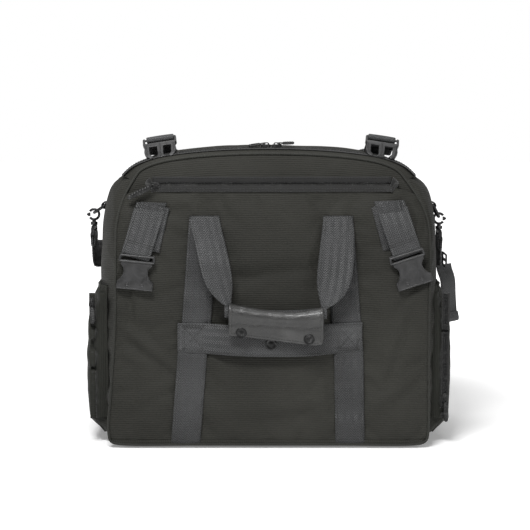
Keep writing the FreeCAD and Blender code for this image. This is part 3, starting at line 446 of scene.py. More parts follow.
def tube(name, path, r, mat, body="root", segs=10, closed=False, ref=(0.13, 0.2, 1.0), cap=True):
    p = np.asarray(path, float)
    t = np.gradient(p, axis=0)
    if closed:
        t = np.roll(p, -1, 0) - np.roll(p, 1, 0)
    t /= np.maximum(1e-9, np.linalg.norm(t, axis=1))[:, None]
    n0 = np.array(ref, float)
    N = []
    for k in range(len(p)):
        n0 = n0 - n0.dot(t[k]) * t[k]
        n0 = n0 / max(1e-9, np.linalg.norm(n0))
        N.append(n0)
    N = np.array(N)
    B = np.cross(t, N)
    rr = np.full(len(p), r, float) if np.isscalar(r) else np.asarray(r, float)
    an = np.linspace(0, 2 * math.pi, segs, endpoint=False)
    P = p[:, None] + rr[:, None, None] * (np.cos(an)[None, :, None] * N[:, None] + np.sin(an)[None, :, None] * B[:, None])
    s = np.concatenate([[0], np.cumsum(np.linalg.norm(np.diff(p, axis=0), axis=1))])
    uv = np.stack([np.tile(an / (2 * math.pi) * 2 * math.pi * rr.mean(), (len(p), 1)), np.tile(s[:, None], (1, segs))], 2).reshape(-1, 2) * K
    verts = P.reshape(-1, 3)
    faces = [tuple(reversed(f)) for f in grid_faces(len(p), segs, closed, True)]
    if cap and not closed:
        n = len(verts)
        verts = np.vstack([verts, p[0] - t[0] * rr[0] * 0.4, p[-1] + t[-1] * rr[-1] * 0.4])
        uv = np.vstack([uv, uv[0], uv[-1]])
        for k in range(segs):
            faces.append((n, (k + 1) % segs, k)[::-1])
            faces.append((n + 1, n - segs + k, n - segs + (k + 1) % segs)[::-1])
    o = make(name, verts, faces, mat, uv, body)
    return recalc(o)


def band(name, edgeA, edgeB, thick, normal, mat, body="root", slot="webbing", crown=0.25, na=7, closed_ends=True, uv0=0.0):
    """Webbing between two edge lines: a closed strip with rounded selvedges and a slight crown.
    normal points to the shown side; edges are equal-length point lists."""
    A, B = np.asarray(edgeA, float), np.asarray(edgeB, float)
    C = (A + B) / 2
    side = B - A
    w = np.linalg.norm(side, axis=1)
    side /= w[:, None]
    t = np.gradient(C, axis=0)
    t /= np.maximum(1e-9, np.linalg.norm(t, axis=1))[:, None]
    n = np.cross(t, side)
    ref = np.asarray(normal, float)
    if ref.ndim == 1:
        ref = np.tile(ref, (len(C), 1))
    flip = np.sign((n * ref).sum(1))
    flip[flip == 0] = 1
    n = n / np.maximum(1e-9, np.linalg.norm(n, axis=1))[:, None] * flip[:, None]
    s = np.concatenate([[0], np.cumsum(np.linalg.norm(np.diff(C, axis=0), axis=1))])
    top = [(-0.5 + 0.5 * (1 - math.cos(math.pi * k / (na - 1))) * 1.0) for k in range(na)]
    ring = [(q, 0.5 + crown * (1 - (2 * q) ** 2) - (0.22 if abs(q) > 0.49 else 0.0)) for q in top]
    ring += [(q, -0.5 + (0.22 if abs(q) > 0.49 else 0.0)) for q in reversed(top)]
    m = len(ring)
    P = np.zeros((len(C), m, 3))
    uv = np.zeros((len(C), m, 2))
    for k, (q, h) in enumerate(ring):
        P[:, k] = C + side * (q * w)[:, None] + n * (h * thick)
        uv[:, k, 0] = q * w
        uv[:, k, 1] = s + uv0
    faces = grid_faces(len(C), m, False, True)
    if closed_ends:
        faces.append(tuple(range(m)))
        faces.append(tuple((len(C) - 1) * m + k for k in reversed(range(m))))
    o = make(name, P.reshape(-1, 3), faces, mat, uv.reshape(-1, 2) * K, body)
    return recalc(o)


def strip(name, path, side, width, thick, normal, mat, **kw):
    p = np.asarray(path, float)
    s = np.asarray(side, float)
    if s.ndim == 1:
        s = np.tile(s, (len(p), 1))
    s = s / np.linalg.norm(s, axis=1)[:, None]
    w = np.full(len(p), width, float) if np.isscalar(width) else np.asarray(width, float)
    return band(name, p - s * w[:, None] / 2, p + s * w[:, None] / 2, thick, normal, mat, **kw)


class Stitch:
    """Collects single thread stitches and makes one object of them."""

    def __init__(self):
        self.v, self.f, self.uv = [], [], []

    def line(self, path, normal, length=3.0, gap=1.1, r=0.38, lift=0.1):
        p = np.asarray(path, float)
        s = np.concatenate([[0], np.cumsum(np.linalg.norm(np.diff(p, axis=0), axis=1))])
        if s[-1] < length:
            return
        n = max(1, int(round(s[-1] / (length + gap))))
        step = s[-1] / n
        ref = np.asarray(normal, float)
        for k in range(n):
            q = [k * step + gap / 2, k * step + step / 2, (k + 1) * step - gap / 2]
            c = [np.array([np.interp(x, s, p[:, j]) for j in range(3)]) for x in q]
            nn = ref if ref.ndim == 1 else np.array([np.interp(q[1], s, ref[:, j]) for j in range(3)])
            nn = nn / np.linalg.norm(nn)
            d = c[2] - c[0]
            d /= np.linalg.norm(d)
            b = np.cross(d, nn)
            base = len(self.v)
            for i, (cc, rr, up) in enumerate(((c[0], r * 0.45, -0.25 * r), (c[0] * 0.7 + c[1] * 0.3, r, 0.25 * r),
                                              (c[1], r * 1.05, 0.5 * r), (c[2] * 0.7 + c[1] * 0.3, r, 0.25 * r), (c[2], r * 0.45, -0.25 * r))):
                for a in range(6):
                    an = a * math.pi / 3
                    self.v.append(cc + nn * (lift + up + rr * 0.8 * math.sin(an)) + b * rr * math.cos(an))
                    self.uv.append((a * 0.0003, i * 0.0007))
            for i in range(4):
                for a in range(6):
                    self.f.append((base + i * 6 + a, base + i * 6 + (a + 1) % 6, base + (i + 1) * 6 + (a + 1) % 6, base + (i + 1) * 6 + a))
            self.f.append(tuple(base + a for a in reversed(range(6))))
            self.f.append(tuple(base + 24 + a for a in range(6)))

    def build(self, name, body="root", mat=None):
        if not self.v:
            return None
        return recalc(make(name, np.array(self.v), self.f, mat or M_THREAD, np.array(self.uv), body))


def lump(x, y, z, scale=0.02, seed=0.0):
    return noise.noise(Vector((x * scale + seed, y * scale + seed * 1.7, z * scale - seed)))


# ------------------------------------------------------------------ the bag's own lines
OUT = [(192, 6), (202, 9), (207, 20), (215, 90), (219, 190), (218, 255), (214, 296), (206, 321), (193, 343), (174, 360),
       (148, 370), (112, 376), (60, 380.5), (0, 382)]
front_y = lambda z: -117 + 17 * (z - 6) / 324
back_y = lambda z: 116 - 17 * (z - 6) / 339.5
OUT_Z = sorted((z, x) for x, z in OUT)
SEAM_R = [(5, 193), (8, 200), (14, 203.5), (24, 205), (60, 205), (125, 204.5), (185, 204.5), (249, 205.5), (275, 205),
          (290, 203), (303, 199.5), (314, 194.5), (326, 187.5), (341, 177)]
SEAM_L = [(5, -195), (8, -202), (14, -205), (24, -206), (60, -203.5), (100, -200.5), (150, -197), (200, -195.5),
          (250, -195.5), (290, -194), (303, -191.5), (316, -187.5), (328, -182.5), (341, -175)]
SEAM_Y = [(5, 1.0), (288, 1.2), (303, 4.6), (314, 9.0), (326, 13.5), (341, 18.0)]
seam_x = lambda s, z: smooth(SEAM_R if s > 0 else SEAM_L, z)
seam_y = lambda z: front_y(min(z, 341)) + smooth(SEAM_Y, z)
TOP_PIPE = [(166, -77.5, 354), (147, -76, 363.2), (112, -74.5, 370.0), (60, -73.5, 374.6)]


def top_pipe(s):
    return [(s * x, y, z) for x, y, z in TOP_PIPE]


def seam_points():
    """Closed piping line round the whole front face."""
    zs = [10, 16, 30, 60, 100, 140, 180, 220, 255, 282, 296, 308, 320, 331, 341]
    left = [(seam_x(-1, z), seam_y(z), z) for z in zs]
    right = [(seam_x(1, z), seam_y(z), z) for z in zs]
    mid = [(0, -73, 376)]
    bottom = [(197, -116.4, 6.6), (185, -117, 5.0), (90, -117.2, 4.9), (0, -117.3, 4.9), (-90, -117.2, 4.9), (-186, -117, 5.0), (-199, -116.4, 6.6)]
    return left + top_pipe(-1) + mid + top_pipe(1)[::-1] + right[::-1] + bottom


PENDING = []


def cloth(o, pins, cap, pressure=2.0, shrink=-0.03, gravity=0.0, bend=0.8, hold=None):
    """Marks a sheet for the one simulation pass: its seams are pinned and the cloth between them is slightly too large."""
    g = o.vertex_groups.new(name="sewn")
    for w in sorted(set(pins.values())):
        g.add([i for i, q in pins.items() if q == w], w, "REPLACE")
    m = o.modifiers.new("Cloth", "CLOTH")
    s = m.settings
    s.quality = 6
    s.mass = 0.25
    s.air_damping = 2.0
    s.tension_stiffness = s.compression_stiffness = 14
    s.shear_stiffness = 6
    s.bending_stiffness = bend
    s.vertex_group_mass = "sewn"
    s.use_pressure = True
    s.uniform_pressure_force = pressure
    s.shrink_min = shrink
    s.shrink_max = shrink
    s.effector_weights.gravity = gravity
    m.collision_settings.use_collision = False
    m.collision_settings.use_self_collision = False
    m.point_cache.frame_start, m.point_cache.frame_end = 1, 20
    PENDING.append((o, cap, hold))


def run_cloth():
    if not PENDING:
        return
    sc = bpy.context.scene
    for f in range(1, 21):
        sc.frame_set(f)
    dg = bpy.context.evaluated_depsgraph_get()
    for o, cap, hold in PENDING:
        n = len(o.data.vertices)
        rest = np.zeros(n * 3)
        o.data.vertices.foreach_get("co", rest)
        new = np.zeros(n * 3)
        o.evaluated_get(dg).data.vertices.foreach_get("co", new)
        d = (new - rest).reshape(-1, 3)
        ln = np.linalg.norm(d, axis=1)
        cap_m = cap * K
        d *= (cap_m * np.tanh(ln / cap_m) / np.maximum(ln, 1e-9))[:, None]
        if hold is not None:
            d *= hold[:, None]
        o.modifiers.clear()
        o.data.vertices.foreach_set("co", (rest.reshape(-1, 3) + d).ravel())
        o.data.update()
        print("cloth", o.name, "moved mm mean %.2f max %.2f" % (ln.mean() / K, ln.max() / K))
    sc.frame_set(1)


def border(nu, nv, depth=1):
    p = {}
    for i in range(nu):
        for j in range(nv):
            e = min(i, j, nu - 1 - i, nv - 1 - j)
            if e < depth:
                p[i * nv + j] = 1.0
    return p


# ------------------------------------------------------------------ front pocket panel
NU, NV = 92, 74


def web_x(s, z):
    return interp([(0, -107.0), (10, -106.5), (120, -98), (162, -92.5), (237, -87), (300, -82.5)], z) if s < 0 else \
        interp([(0, 104.2), (10, 104), (124, 102), (165, 98.8), (223, 94.2), (300, 88.0)], z)


def panel_grid():
    P = np.zeros((NU, NV, 3))
    for i in range(NU):
        a = i / (NU - 1)
        aa = 0.5 + 0.5 * math.copysign(abs(2 * a - 1) ** 0.92, 2 * a - 1)
        side = abs(2 * aa - 1)
        ztop = 337.0 - 13.0 * max(0, (side - 0.80) / 0.20) ** 1.5
        for j in range(NV):
            b = j / (NV - 1)
            z = 7.0 + b * (ztop - 7.0)
            xl, xr = seam_x(-1, z), seam_x(1, z)
            x = xl + (xr - xl) * aa
            edge = min(x - xl, xr - x)
            sy = seam_y(z)
            base = front_y(z)
            r = min(1.0, edge / 34.0)
            k = 1 - (1 - r) ** 2.4
            y = sy + (base - sy) * k
            puff = (1 - abs(2 * aa - 1) ** 4) * math.sin(math.pi * min(1, b * 0.93 + 0.02)) ** 0.8
            y -= 2.6 * puff
            rb = min(1.0, (z - 6) / 9.0)
            y += 1.2 * (1 - rb) ** 2
            env = min(1, edge / 20) * min(1, (z - 7) / 25) * min(1, (ztop - z) / 20)
            y += env * (1.5 * lump(x, 0, z, 0.017, 3.1) + 0.9 * lump(x, 0, z * 0.6 + x * 0.5, 0.045, 9.4))
            # soft diagonal creases out of the lower left and beside the straps
            for cx, cz, ang, ln, dp, wd in ((-175, 132, -38, 70, 2.2, 8), (-150, 262, -64, 70, 1.6, 9), (-186, 214, -80, 60, 1.8, 7),
                                            (178, 150, 70, 90, 1.4, 9), (186, 212, 62, 60, 1.9, 8), (10, 40, 4, 90, 1.2, 10),
                                            (-20, 222, 8, 80, 1.3, 12), (165, 60, 40, 60, 1.2, 9), (-165, 50, 30, 60, 1.3, 9)):
                ca, sa = math.cos(math.radians(ang)), math.sin(math.radians(ang))
                du, dv = (x - cx) * ca + (z - cz) * sa, -(x - cx) * sa + (z - cz) * ca
                y += env * dp * 1.45 * math.exp(-(du / ln) ** 2 * 2) * (math.exp(-(dv / wd) ** 2) - 0.8 * math.exp(-((dv - wd * 1.5) / wd) ** 2))
            P[i, j] = (x, y, z)
    return P


PF = panel_grid()
front_panel = sheet_obj("front_pocket_cloth", PF, M_SHELL)
pins = border(NU, NV, 1)
for i in range(NU):
    for j in range(NV):
        x, y, z = PF[i, j]
        for s in (-1, 1):
            if abs(abs(x - web_x(s, z)) - 15) < 3.2:
                pins[i * NV + j] = max(0.85, pins.get(i * NV + j, 0))
hold = np.ones(NU * NV)
cloth(front_panel, pins, 5.0, pressure=1.4, shrink=-0.028, bend=1.2)

# ------------------------------------------------------------------ upper wall behind the pocket, and the strip up to the zip
wall_edge = curve([(seam_x(-1, 300), seam_y(300), 300), (seam_x(-1, 314), seam_y(314), 314), (seam_x(-1, 328), seam_y(328), 328),
                   (seam_x(-1, 341), seam_y(341), 341)] + top_pipe(-1) + [(0, -73, 376)] + top_pipe(1)[::-1] +
                  [(seam_x(1, z), seam_y(z), z) for z in (341, 328, 314, 300)], 96)
nW = len(wall_edge)
WV = 22
PW = np.zeros((nW, WV, 3))
for k in range(nW):
    q = wall_edge[k]
    a = k / (nW - 1)
    bx = -178 + 362 * a
    for j in range(WV):
        b = j / (WV - 1)
        p = V3(bx, -85.5, 292) * (1 - b) + q * b
        p[1] = (-85.5 + (p[2] - 292) * 0.065) * (1 - b ** 3) + q[1] * b ** 3
        e = math.sin(math.pi * b) * min(1, 4 * min(a, 1 - a))
        p[1] += e * (1.6 * lump(p[0], 3, p[2], 0.018, 5.0) + 0.7 * lump(p[0] * 1.6, 3, p[2], 0.05, 2.0)) - 1.0 * e
        PW[k, j] = p
upper_wall = sheet_obj("upper_wall_cloth", PW, M_SHELL)

ARCH = curve([(-190, 346.3), (-183.5, 353)] + [(-x, z) for x, z in OUT[9:-1]] + [(0, 382)] + [(x, z) for x, z in OUT[9:-1]][::-1] + [(183.5, 353), (190, 346.3)], 120)
arch_n = np.gradient(ARCH, axis=0)
arch_n = np.stack([-arch_n[:, 1], arch_n[:, 0]], 1)
arch_n /= np.linalg.norm(arch_n, axis=1)[:, None]
arch_n *= np.sign(arch_n[:, 1:2] + 1e-6)


def arch_line(y, lift=0.0):
    return np.stack([ARCH[:, 0] + arch_n[:, 0] * lift, np.full(len(ARCH), y), ARCH[:, 1] + arch_n[:, 1] * lift], 1)


pe = curve([(seam_x(-1, 340), seam_y(340), 340)] + top_pipe(-1) + [(0, -73, 376)] + top_pipe(1)[::-1] + [(seam_x(1, 340), seam_y(340), 340)], 120)
zedge = arch_line(-59.5, -0.2)
PS = np.zeros((120, 9, 3))
for j in range(9):
    b = j / 8
    PS[:, j] = pe * (1 - b) + zedge * b
    PS[:, j, 2] += 1.6 * math.sin(math.pi * b)
top_strip = sheet_obj("top_edge_cloth", PS, M_SHELL)

# ------------------------------------------------------------------ sides
GU, GV = 44, 62
gussets = []
for s, nm in ((-1, "left"), (1, "right")):
    P = np.zeros((GU, GV, 3))
    for j in range(GV):
        t = j / (GV - 1)
        z = 6.5 + t * 339.0
        zf = min(z, 6.5 + t * 334.5)
        F = V3(seam_x(s, zf), seam_y(zf), zf)
        mx = s * smooth(OUT_Z, z)
        B = V3(s * min(203.0, abs(mx) - 3.0), back_y(z) - 0.8, z * 343.5 / 345.5)
        for i in range(GU):
            v = i / (GU - 1)
            p = F * (1 - v) + B * v
            bump = math.sin(math.pi * v) ** 0.72
            p[0] += (mx - p[0]) * bump
            p[2] += max(0.0, 346.2 - p[2]) * math.sin(math.pi * v) ** 0.3 * t ** 9
            e = math.sin(math.pi * v) ** 0.5 * math.sin(math.pi * min(1, max(0, t))) ** 0.5
            p[0] += s * e * (1.8 * lump(p[1], 1, z, 0.016, 4.0 * s) + 1.0 * lump(p[1] * 0.6, 2, z * 1.5, 0.03, 7.0 * s) - 0.8)
            P[i, j] = p
    g = sheet_obj("side_cloth_" + nm, P, M_SHELL, flip=s > 0)
    cloth(g, border(GU, GV, 1), 4.0, pressure=1.0, shrink=-0.02, bend=1.0)
    gussets.append(g)

# ------------------------------------------------------------------ back
BU, BV = 84, 64
P = np.zeros((BU, BV, 3))
for j in range(BV):
    t = j / (BV - 1)
    z = 7 + t * 338.0
    half = min(203.0, smooth(OUT_Z, z) - 3.0)
    for i in range(BU):
        a = 2 * i / (BU - 1) - 1
        x = half * math.copysign(abs(a) ** 0.93, a)
        e = min(1, (half - abs(x)) / 26) * min(1, (z - 7) / 22) * min(1, (345.5 - z) / 22)
        y = back_y(z) - 1.0 + 2.4 * (1 - (1 - min(1, e)) ** 2) + e * (1.4 * lump(x, 8, z, 0.016, 21.0) + 0.7 * lump(x, 8, z, 0.05, 3.0))
        P[i, j] = (x, y, z)
back_cloth = sheet_obj("back_cloth", P, M_SHELL, flip=True)
pins = border(BU, BV, 1)
for i in range(BU):
    for j in range(BV):
        x, y, z = P[i, j]
        for s in (-1, 1):
            if abs(abs(x - web_x(s, z)) - 15) < 3.2:
                pins[i * BV + j] = max(0.85, pins.get(i * BV + j, 0))
cloth(back_cloth, pins, 3.5, pressure=0.8, shrink=-0.015, bend=1.0)

# ------------------------------------------------------------------ lid
LU, LV = 92, 44
lid_rows = curve([(-57.2, 1.0), (-40, 1.012), (-10, 1.02), (30, 1.02), (58, 1.0), (74, 0.93), (84, 0.74), (91, 0.48), (96, 0.2), (98.6, 0.0)], LV)
lid_arch = np.stack([np.interp(np.linspace(0, 1, LU), np.linspace(0, 1, 120), ARCH[:, k]) for k in (0, 1)], 1)
P = np.zeros((LU, LV, 3))
for i in range(LU):
    a = i / (LU - 1)
    for j in range(LV):
        y, f = lid_rows[j]
        x, z = lid_arch[i]
        zz = 346.2 + (z - 346.2) * f
        e = math.sin(math.pi * a) ** 0.5 * math.sin(math.pi * min(1, j / (LV - 1))) ** 0.6
        zz += e * (1.6 * lump(x, y, 3, 0.015, 31.0) + 0.7 * lump(x * 0.6, y, 3, 0.045, 12.0) - 0.6)
        xx = x * (1.0 + 0.012 * math.sin(math.pi * j / (LV - 1)) * abs(2 * a - 1) ** 6)
        P[i, j] = (xx, y, zz)
lid_cloth = sheet_obj("lid_cloth", P, M_LID, body="lid", flip=False)
cloth(lid_cloth, border(LU, LV, 1), 2.4, pressure=0.5, shrink=-0.012, bend=1.5)

# ------------------------------------------------------------------ base
P = np.zeros((72, 40, 3))
for i in range(72):
    a = 2 * i / 71 - 1
    x = 206.0 * math.copysign(abs(a) ** 0.9, a)
    dx = max(0.0, abs(x) - 190.0)
    rise = 16.0 - math.sqrt(max(0.0, 256.0 - dx * dx)) if dx < 16 else 16.0
    for j in range(40):
        b = 2 * j / 39 - 1
        y = 116.4 * math.copysign(abs(b) ** 0.85, b)
        dy = max(0.0, abs(y) - 112.0)
        z = 6.25 + 0.75 * dy + rise * 0.8 + 0.5 * (1 + lump(x, y, 0, 0.02, 8.0)) * (1 - abs(b) ** 4)
        P[i, j] = (x, y * (1 - 0.02 * rise / 16), z)
base_cloth = sheet_obj("base_cloth", P, M_SHELL, flip=True)

# ------------------------------------------------------------------ side pockets
pouches = []
PU, PV = 46, 50
for s, nm in ((-1, "left"), (1, "right")):
    P = np.zeros((PU, PV, 3))
    for i in range(PU):
        v = i / (PU - 1)
        q = 2 * v - 1
        y = 95.0 * math.copysign(abs(q) ** 0.8, q)
        for j in range(PV):
            t = j / (PV - 1)
            z = 10.5 + 197.0 * t
            gx = smooth(OUT_Z, z)
            yy = y * (1 - 0.03 * (1 - t))
            wall = gx - (gx - 203.5) * min(1.0, abs(yy) / 112.0) ** 2.2
            prof = (1 - abs(q) ** 5.0) ** 0.6
            up = min(1.0, (t / 0.10)) ** 0.55 if t < 0.10 else 1.0
            top = 1.0 - 0.42 * max(0.0, (t - 0.72) / 0.28) ** 1.7
            d = (238.6 - 207.0) * (1.0 - 0.20 * abs(t - 0.42)) * prof * up * top
            x = max(wall + 0.6, 204.5 + d * 1.02)
            e = prof * math.sin(math.pi * min(1, max(0, t))) ** 0.4
            x += e * (2.0 * lump(yy, 5, z, 0.02, 14.0 * s) + 1.0 * lump(yy * 0.7, 6, z * 1.3, 0.05, 5.0 * s) - 1.2)
            P[i, j] = (s * x, yy, z)
    o = sheet_obj("side_pocket_cloth_" + nm, P, M_POCKET, flip=s > 0)
    cloth(o, border(PU, PV, 1), 5.0, pressure=1.6, shrink=-0.03, bend=0.8)
    pouches.append(o)

run_cloth()


def tree(o):
    co = [v.co.copy() for v in o.data.vertices]
    return BVHTree.FromPolygons(co, [tuple(p.vertices) for p in o.data.polygons])


T_FRONT, T_BACK, T_LID = tree(front_panel), tree(back_cloth), tree(lid_cloth)
T_POUCH = {-1: tree(pouches[0]), 1: tree(pouches[1])}
T_SIDE = {-1: tree(gussets[0]), 1: tree(gussets[1])}


def hit(tr, origin, direction, default):
    h = tr.ray_cast(Vector(origin) * K, Vector(direction))
    return V3(*h[0]) / K if h[0] is not None else V3(*default)


def fy(x, z):
    return hit(T_FRONT, (x, -300, z), (0, 1, 0), (x, front_y(z), z))[1]


def by(x, z):
    return hit(T_BACK, (x, 300, z), (0, -1, 0), (x, back_y(z), z))[1]


def lz(x, y):
    return hit(T_LID, (x, y, 600), (0, 0, -1), (x, y, 380))[2]


for o in (front_panel, upper_wall, top_strip, back_cloth, base_cloth, lid_cloth, *gussets, *pouches):
    subdiv(o, 1)
front_panel = thicken(front_panel, 2.2, M_LINING)
upper_wall = thicken(upper_wall, 2.0, M_LINING)
top_strip = thicken(top_strip, 1.6, M_LINING)
lid_cloth = thicken(lid_cloth, 2.6, M_LINING)
back_cloth = thicken(back_cloth, 2.2, M_LINING)
for g in gussets:
    thicken(g, 2.2, M_LINING)
for g in pouches:
    thicken(g, 1.8, M_LINING)
thicken(base_cloth, 1.8, M_LINING)
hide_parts("front_pocket_panel")
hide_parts("front_wall")
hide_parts("back_panel")
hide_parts("base_panel")
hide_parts("lid_panel")
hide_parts("left_gusset")
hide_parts("right_gusset")
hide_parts("left_side_pocket")
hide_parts("right_side_pocket")

# ------------------------------------------------------------------ piping cords front and back, and the front base hem
pts = curve(seam_points(), 520, closed=True)[:-1]
pipe = tube("front_piping_cord", pts + V3(0, -0.6, 0), 1.75, M_PIPE, segs=10, closed=True)
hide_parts("front_piping")
hem_x = np.linspace(-201.0, 199.0, 90)
hem_lift = 2.2 * np.clip((np.abs(hem_x) - 192.0) / 9.0, 0, 1) ** 2
band("front_base_hem", np.stack([hem_x, np.full(90, front_y(6.0) + 0.6), 4.3 + hem_lift], 1), np.stack([hem_x, np.full(90, front_y(9.0) - 0.7), 10.2 + hem_lift], 1), 1.6, (0, -1, 0), M_SHELL, slot="shell_fabric", crown=0.3)
zs = [8, 20, 60, 120, 180, 240, 300, 344]
bp = [(-min(203.5, smooth(OUT_Z, z) - 2.5), back_y(z) + 0.2, z) for z in zs]
bpr = [(-x, y, z) for x, y, z in bp]
top_b = [(-150, 99.6, 346), (0, 99.8, 346), (150, 99.6, 346)]
bot_b = [(188, 117, 5.4), (0, 117.2, 5.2), (-188, 117, 5.4)]
bpts = curve(bp + top_b + bpr[::-1] + bot_b, 420, closed=True)[:-1]
bpipe = tube("back_piping_cord", bpts, 1.7, M_PIPE, segs=10, closed=True)
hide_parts("back_piping")

# ------------------------------------------------------------------ carry webs, sewn on front, under the base and up the back
st_root = Stitch()
webs = {}
for s, nm in ((-1, "left"), (1, "right")):
    w = 37.5
    A, B = [], []
    for z in np.linspace(297.5, 14, 64):
        x = web_x(s, z)
        y = min(fy(x + d, z) for d in (-18, -9, 0, 9, 18)) - 1.05
        A.append((x - w / 2, y, z))
        B.append((x + w / 2, y, z))
    x0 = web_x(s, 6)
    for y, z in ((-118.3, 9.5), (-117.4, 6.2), (-114.5, 4.9), (-108, 4.85), (-80, 4.85), (-40, 4.85), (0, 4.85), (40, 4.85), (80, 4.85), (107, 4.85), (113.5, 4.9), (116.6, 6.2), (117.6, 9.5)):
        A.append((x0 - w / 2, y, z))
        B.append((x0 + w / 2, y, z))
    for z in np.linspace(14, 296, 60):
        x = web_x(s, z)
        y = max(by(x + d, z) for d in (-18, -9, 0, 9, 18)) + 1.05
        A.append((x - w / 2, y, z))
        B.append((x + w / 2, y, z))
    A, B = np.array(A), np.array(B)
    Cn = (A + B) / 2
    t = np.gradient(Cn, axis=0)
    nrm = np.cross(t, V3(1, 0, 0))
    nrm = np.where((nrm[:, 1:2] * np.sign(Cn[:, 1:2])) + (-(nrm[:, 2:3])) * 0.5 > 0, nrm, -nrm)
    o = band("carry_webbing_" + nm, A, B, 1.7, nrm, M_WEB)
    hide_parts("carry_web_" + nm)
    webs[s] = (A, B)
    n1 = nrm / np.linalg.norm(nrm, axis=1)[:, None]
    for f in (0.075, 0.925):
        L = A * (1 - f) + B * f + n1 * 1.05
        st_root.line(L[:64], n1[:64], 3.0, 1.1, 0.34)
        st_root.line(L[78:], n1[78:], 3.0, 1.1, 0.34)


def box_stitch(st, c, ux, uz, n, hx, hz, cross=True, rows=1):
    """Sewn box with a cross in it, about centre c."""
    c, ux, uz, n = (np.asarray(q, float) for q in (c, ux, uz, n))
    pt = lambda a, b: c + ux * a + uz * b
    for r in range(rows):
        q = r * 2.0
        ring = [pt(-hx + q, -hz + q), pt(hx - q, -hz + q), pt(hx - q, hz - q), pt(-hx + q, hz - q), pt(-hx + q, -hz + q)]
        for a, b in zip(ring, ring[1:]):
            st.line(np.linspace(a, b, 12), n, 2.6, 0.8, 0.42)
    if cross:
        st.line(np.linspace(pt(-hx, -hz), pt(hx, hz), 16), n, 2.6, 0.8, 0.42)
        st.line(np.linspace(pt(-hx, hz), pt(hx, -hz), 16), n, 2.6, 0.8, 0.42)


# ------------------------------------------------------------------ cross strap over both webs
cross_top = [(-115, 162), (-60, 161.2), (0, 159.8), (60, 160.8), (118, 163.0)]
cross_bot = [(-115, 124.5), (-60, 122.4), (0, 120.6), (60, 121.6), (118, 125.5)]
A, B = [], []
for x in np.linspace(-115.5, 118, 80):
    zt, zb = smooth(cross_top, x), smooth(cross_bot, x)
    yy = []
    for z in (zt, zb):
        base = min(fy(x, z), fy(x, (zt + zb) / 2))
        on = any(abs(x - web_x(s, z)) < 21.5 for s in (-1, 1))
        free = smooth([(-116, 0), (-74, 0), (-58, 6.5), (-25, 9.2), (0, 9.6), (30, 9.2), (60, 7), (76, 0), (118, 0)], x)
        yy.append(base - 2.9 - max(0, free) - (0.5 if on else 0.0))
    A.append((x, yy[0], zt))
    B.append((x, yy[1], zb))
A, B = np.array(A), np.array(B)
for q in (A, B):
    q[:, 1] = np.convolve(np.pad(q[:, 1], 3, "edge"), np.ones(7) / 7, "valid")
cross = band("cross_webbing", A, B, 1.7, (0, -1, 0), M_STRAP, na=9)
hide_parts("cross_strap")
for f in (0.06, 0.94):
    st_root.line(A * (1 - f) + B * f + V3(0, -1.15, 0), (0, -1, 0.05), 3.0, 1.0, 0.36)
for s in (-1, 1):
    xc = web_x(s, 133)
    k = int(np.argmin(np.abs(A[:, 0] - xc)))
    c = (A[k] + B[k]) / 2 + V3(0, -1.25, 0)
    c[0] = xc
    box_stitch(st_root, c, (1, 0, 0), (0, 0.05, 1), (0, -1, 0.05), 13.5, 15.0, True, 2)
# folded end of the cross strap at each side
for s, k in ((-1, 0), (1, -1)):
    e0, e1 = A[k], B[k]
    d = V3(s, 0, 0)
    path = [e1 * (1 - f) + e0 * f for f in np.linspace(0, 1, 9)]
    fold = tube("cross_fold_" + ("left" if s < 0 else "right"), np.array(path) + V3(0, 0.35, 0), 1.35, M_STRAP, segs=8)

# ------------------------------------------------------------------ snap caps


def snap_cap(name, c, n, r, body, tilt=None):
    """Domed cap with a rolled rim and a dished centre."""
    prof = [(r, 0.0), (r * 1.02, 0.7), (r * 0.97, 1.35), (r * 0.86, 1.6), (r * 0.74, 1.35), (r * 0.62, 1.1), (r * 0.45, 1.25), (r * 0.25, 1.5), (0.02, 1.58)]
    c, n = np.asarray(c, float), np.asarray(n, float)
    n = n / np.linalg.norm(n)
    a = np.cross(n, V3(0, 0, 1))
    a /= np.linalg.norm(a)
    b = np.cross(n, a)
    seg = 36
    P = np.zeros((len(prof), seg, 3))
    for i, (rr, h) in enumerate(prof):
        for k in range(seg):
            an = 2 * math.pi * k / seg
            P[i, k] = c + n * h + (a * math.cos(an) + b * math.sin(an)) * rr
    f = grid_faces(len(prof), seg, False, True)
    f.append(tuple(range(seg)))
    f.append(tuple((len(prof) - 1) * seg + k for k in reversed(range(seg))))
    return recalc(make(name, P.reshape(-1, 3), f, M_SNAP, None, body))


kx = int(np.argmin(np.abs(A[:, 0] - 4.0)))
cc = A[kx] * 0.42 + B[kx] * 0.58
o = snap_cap("cross_snap_cap", cc + V3(0, -0.95, 0), (0, -1, 0.06), 7.2, "root")
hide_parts("cross_snap")

# ------------------------------------------------------------------ handles
PIV = {-1: -104.184, 1: 103.979}


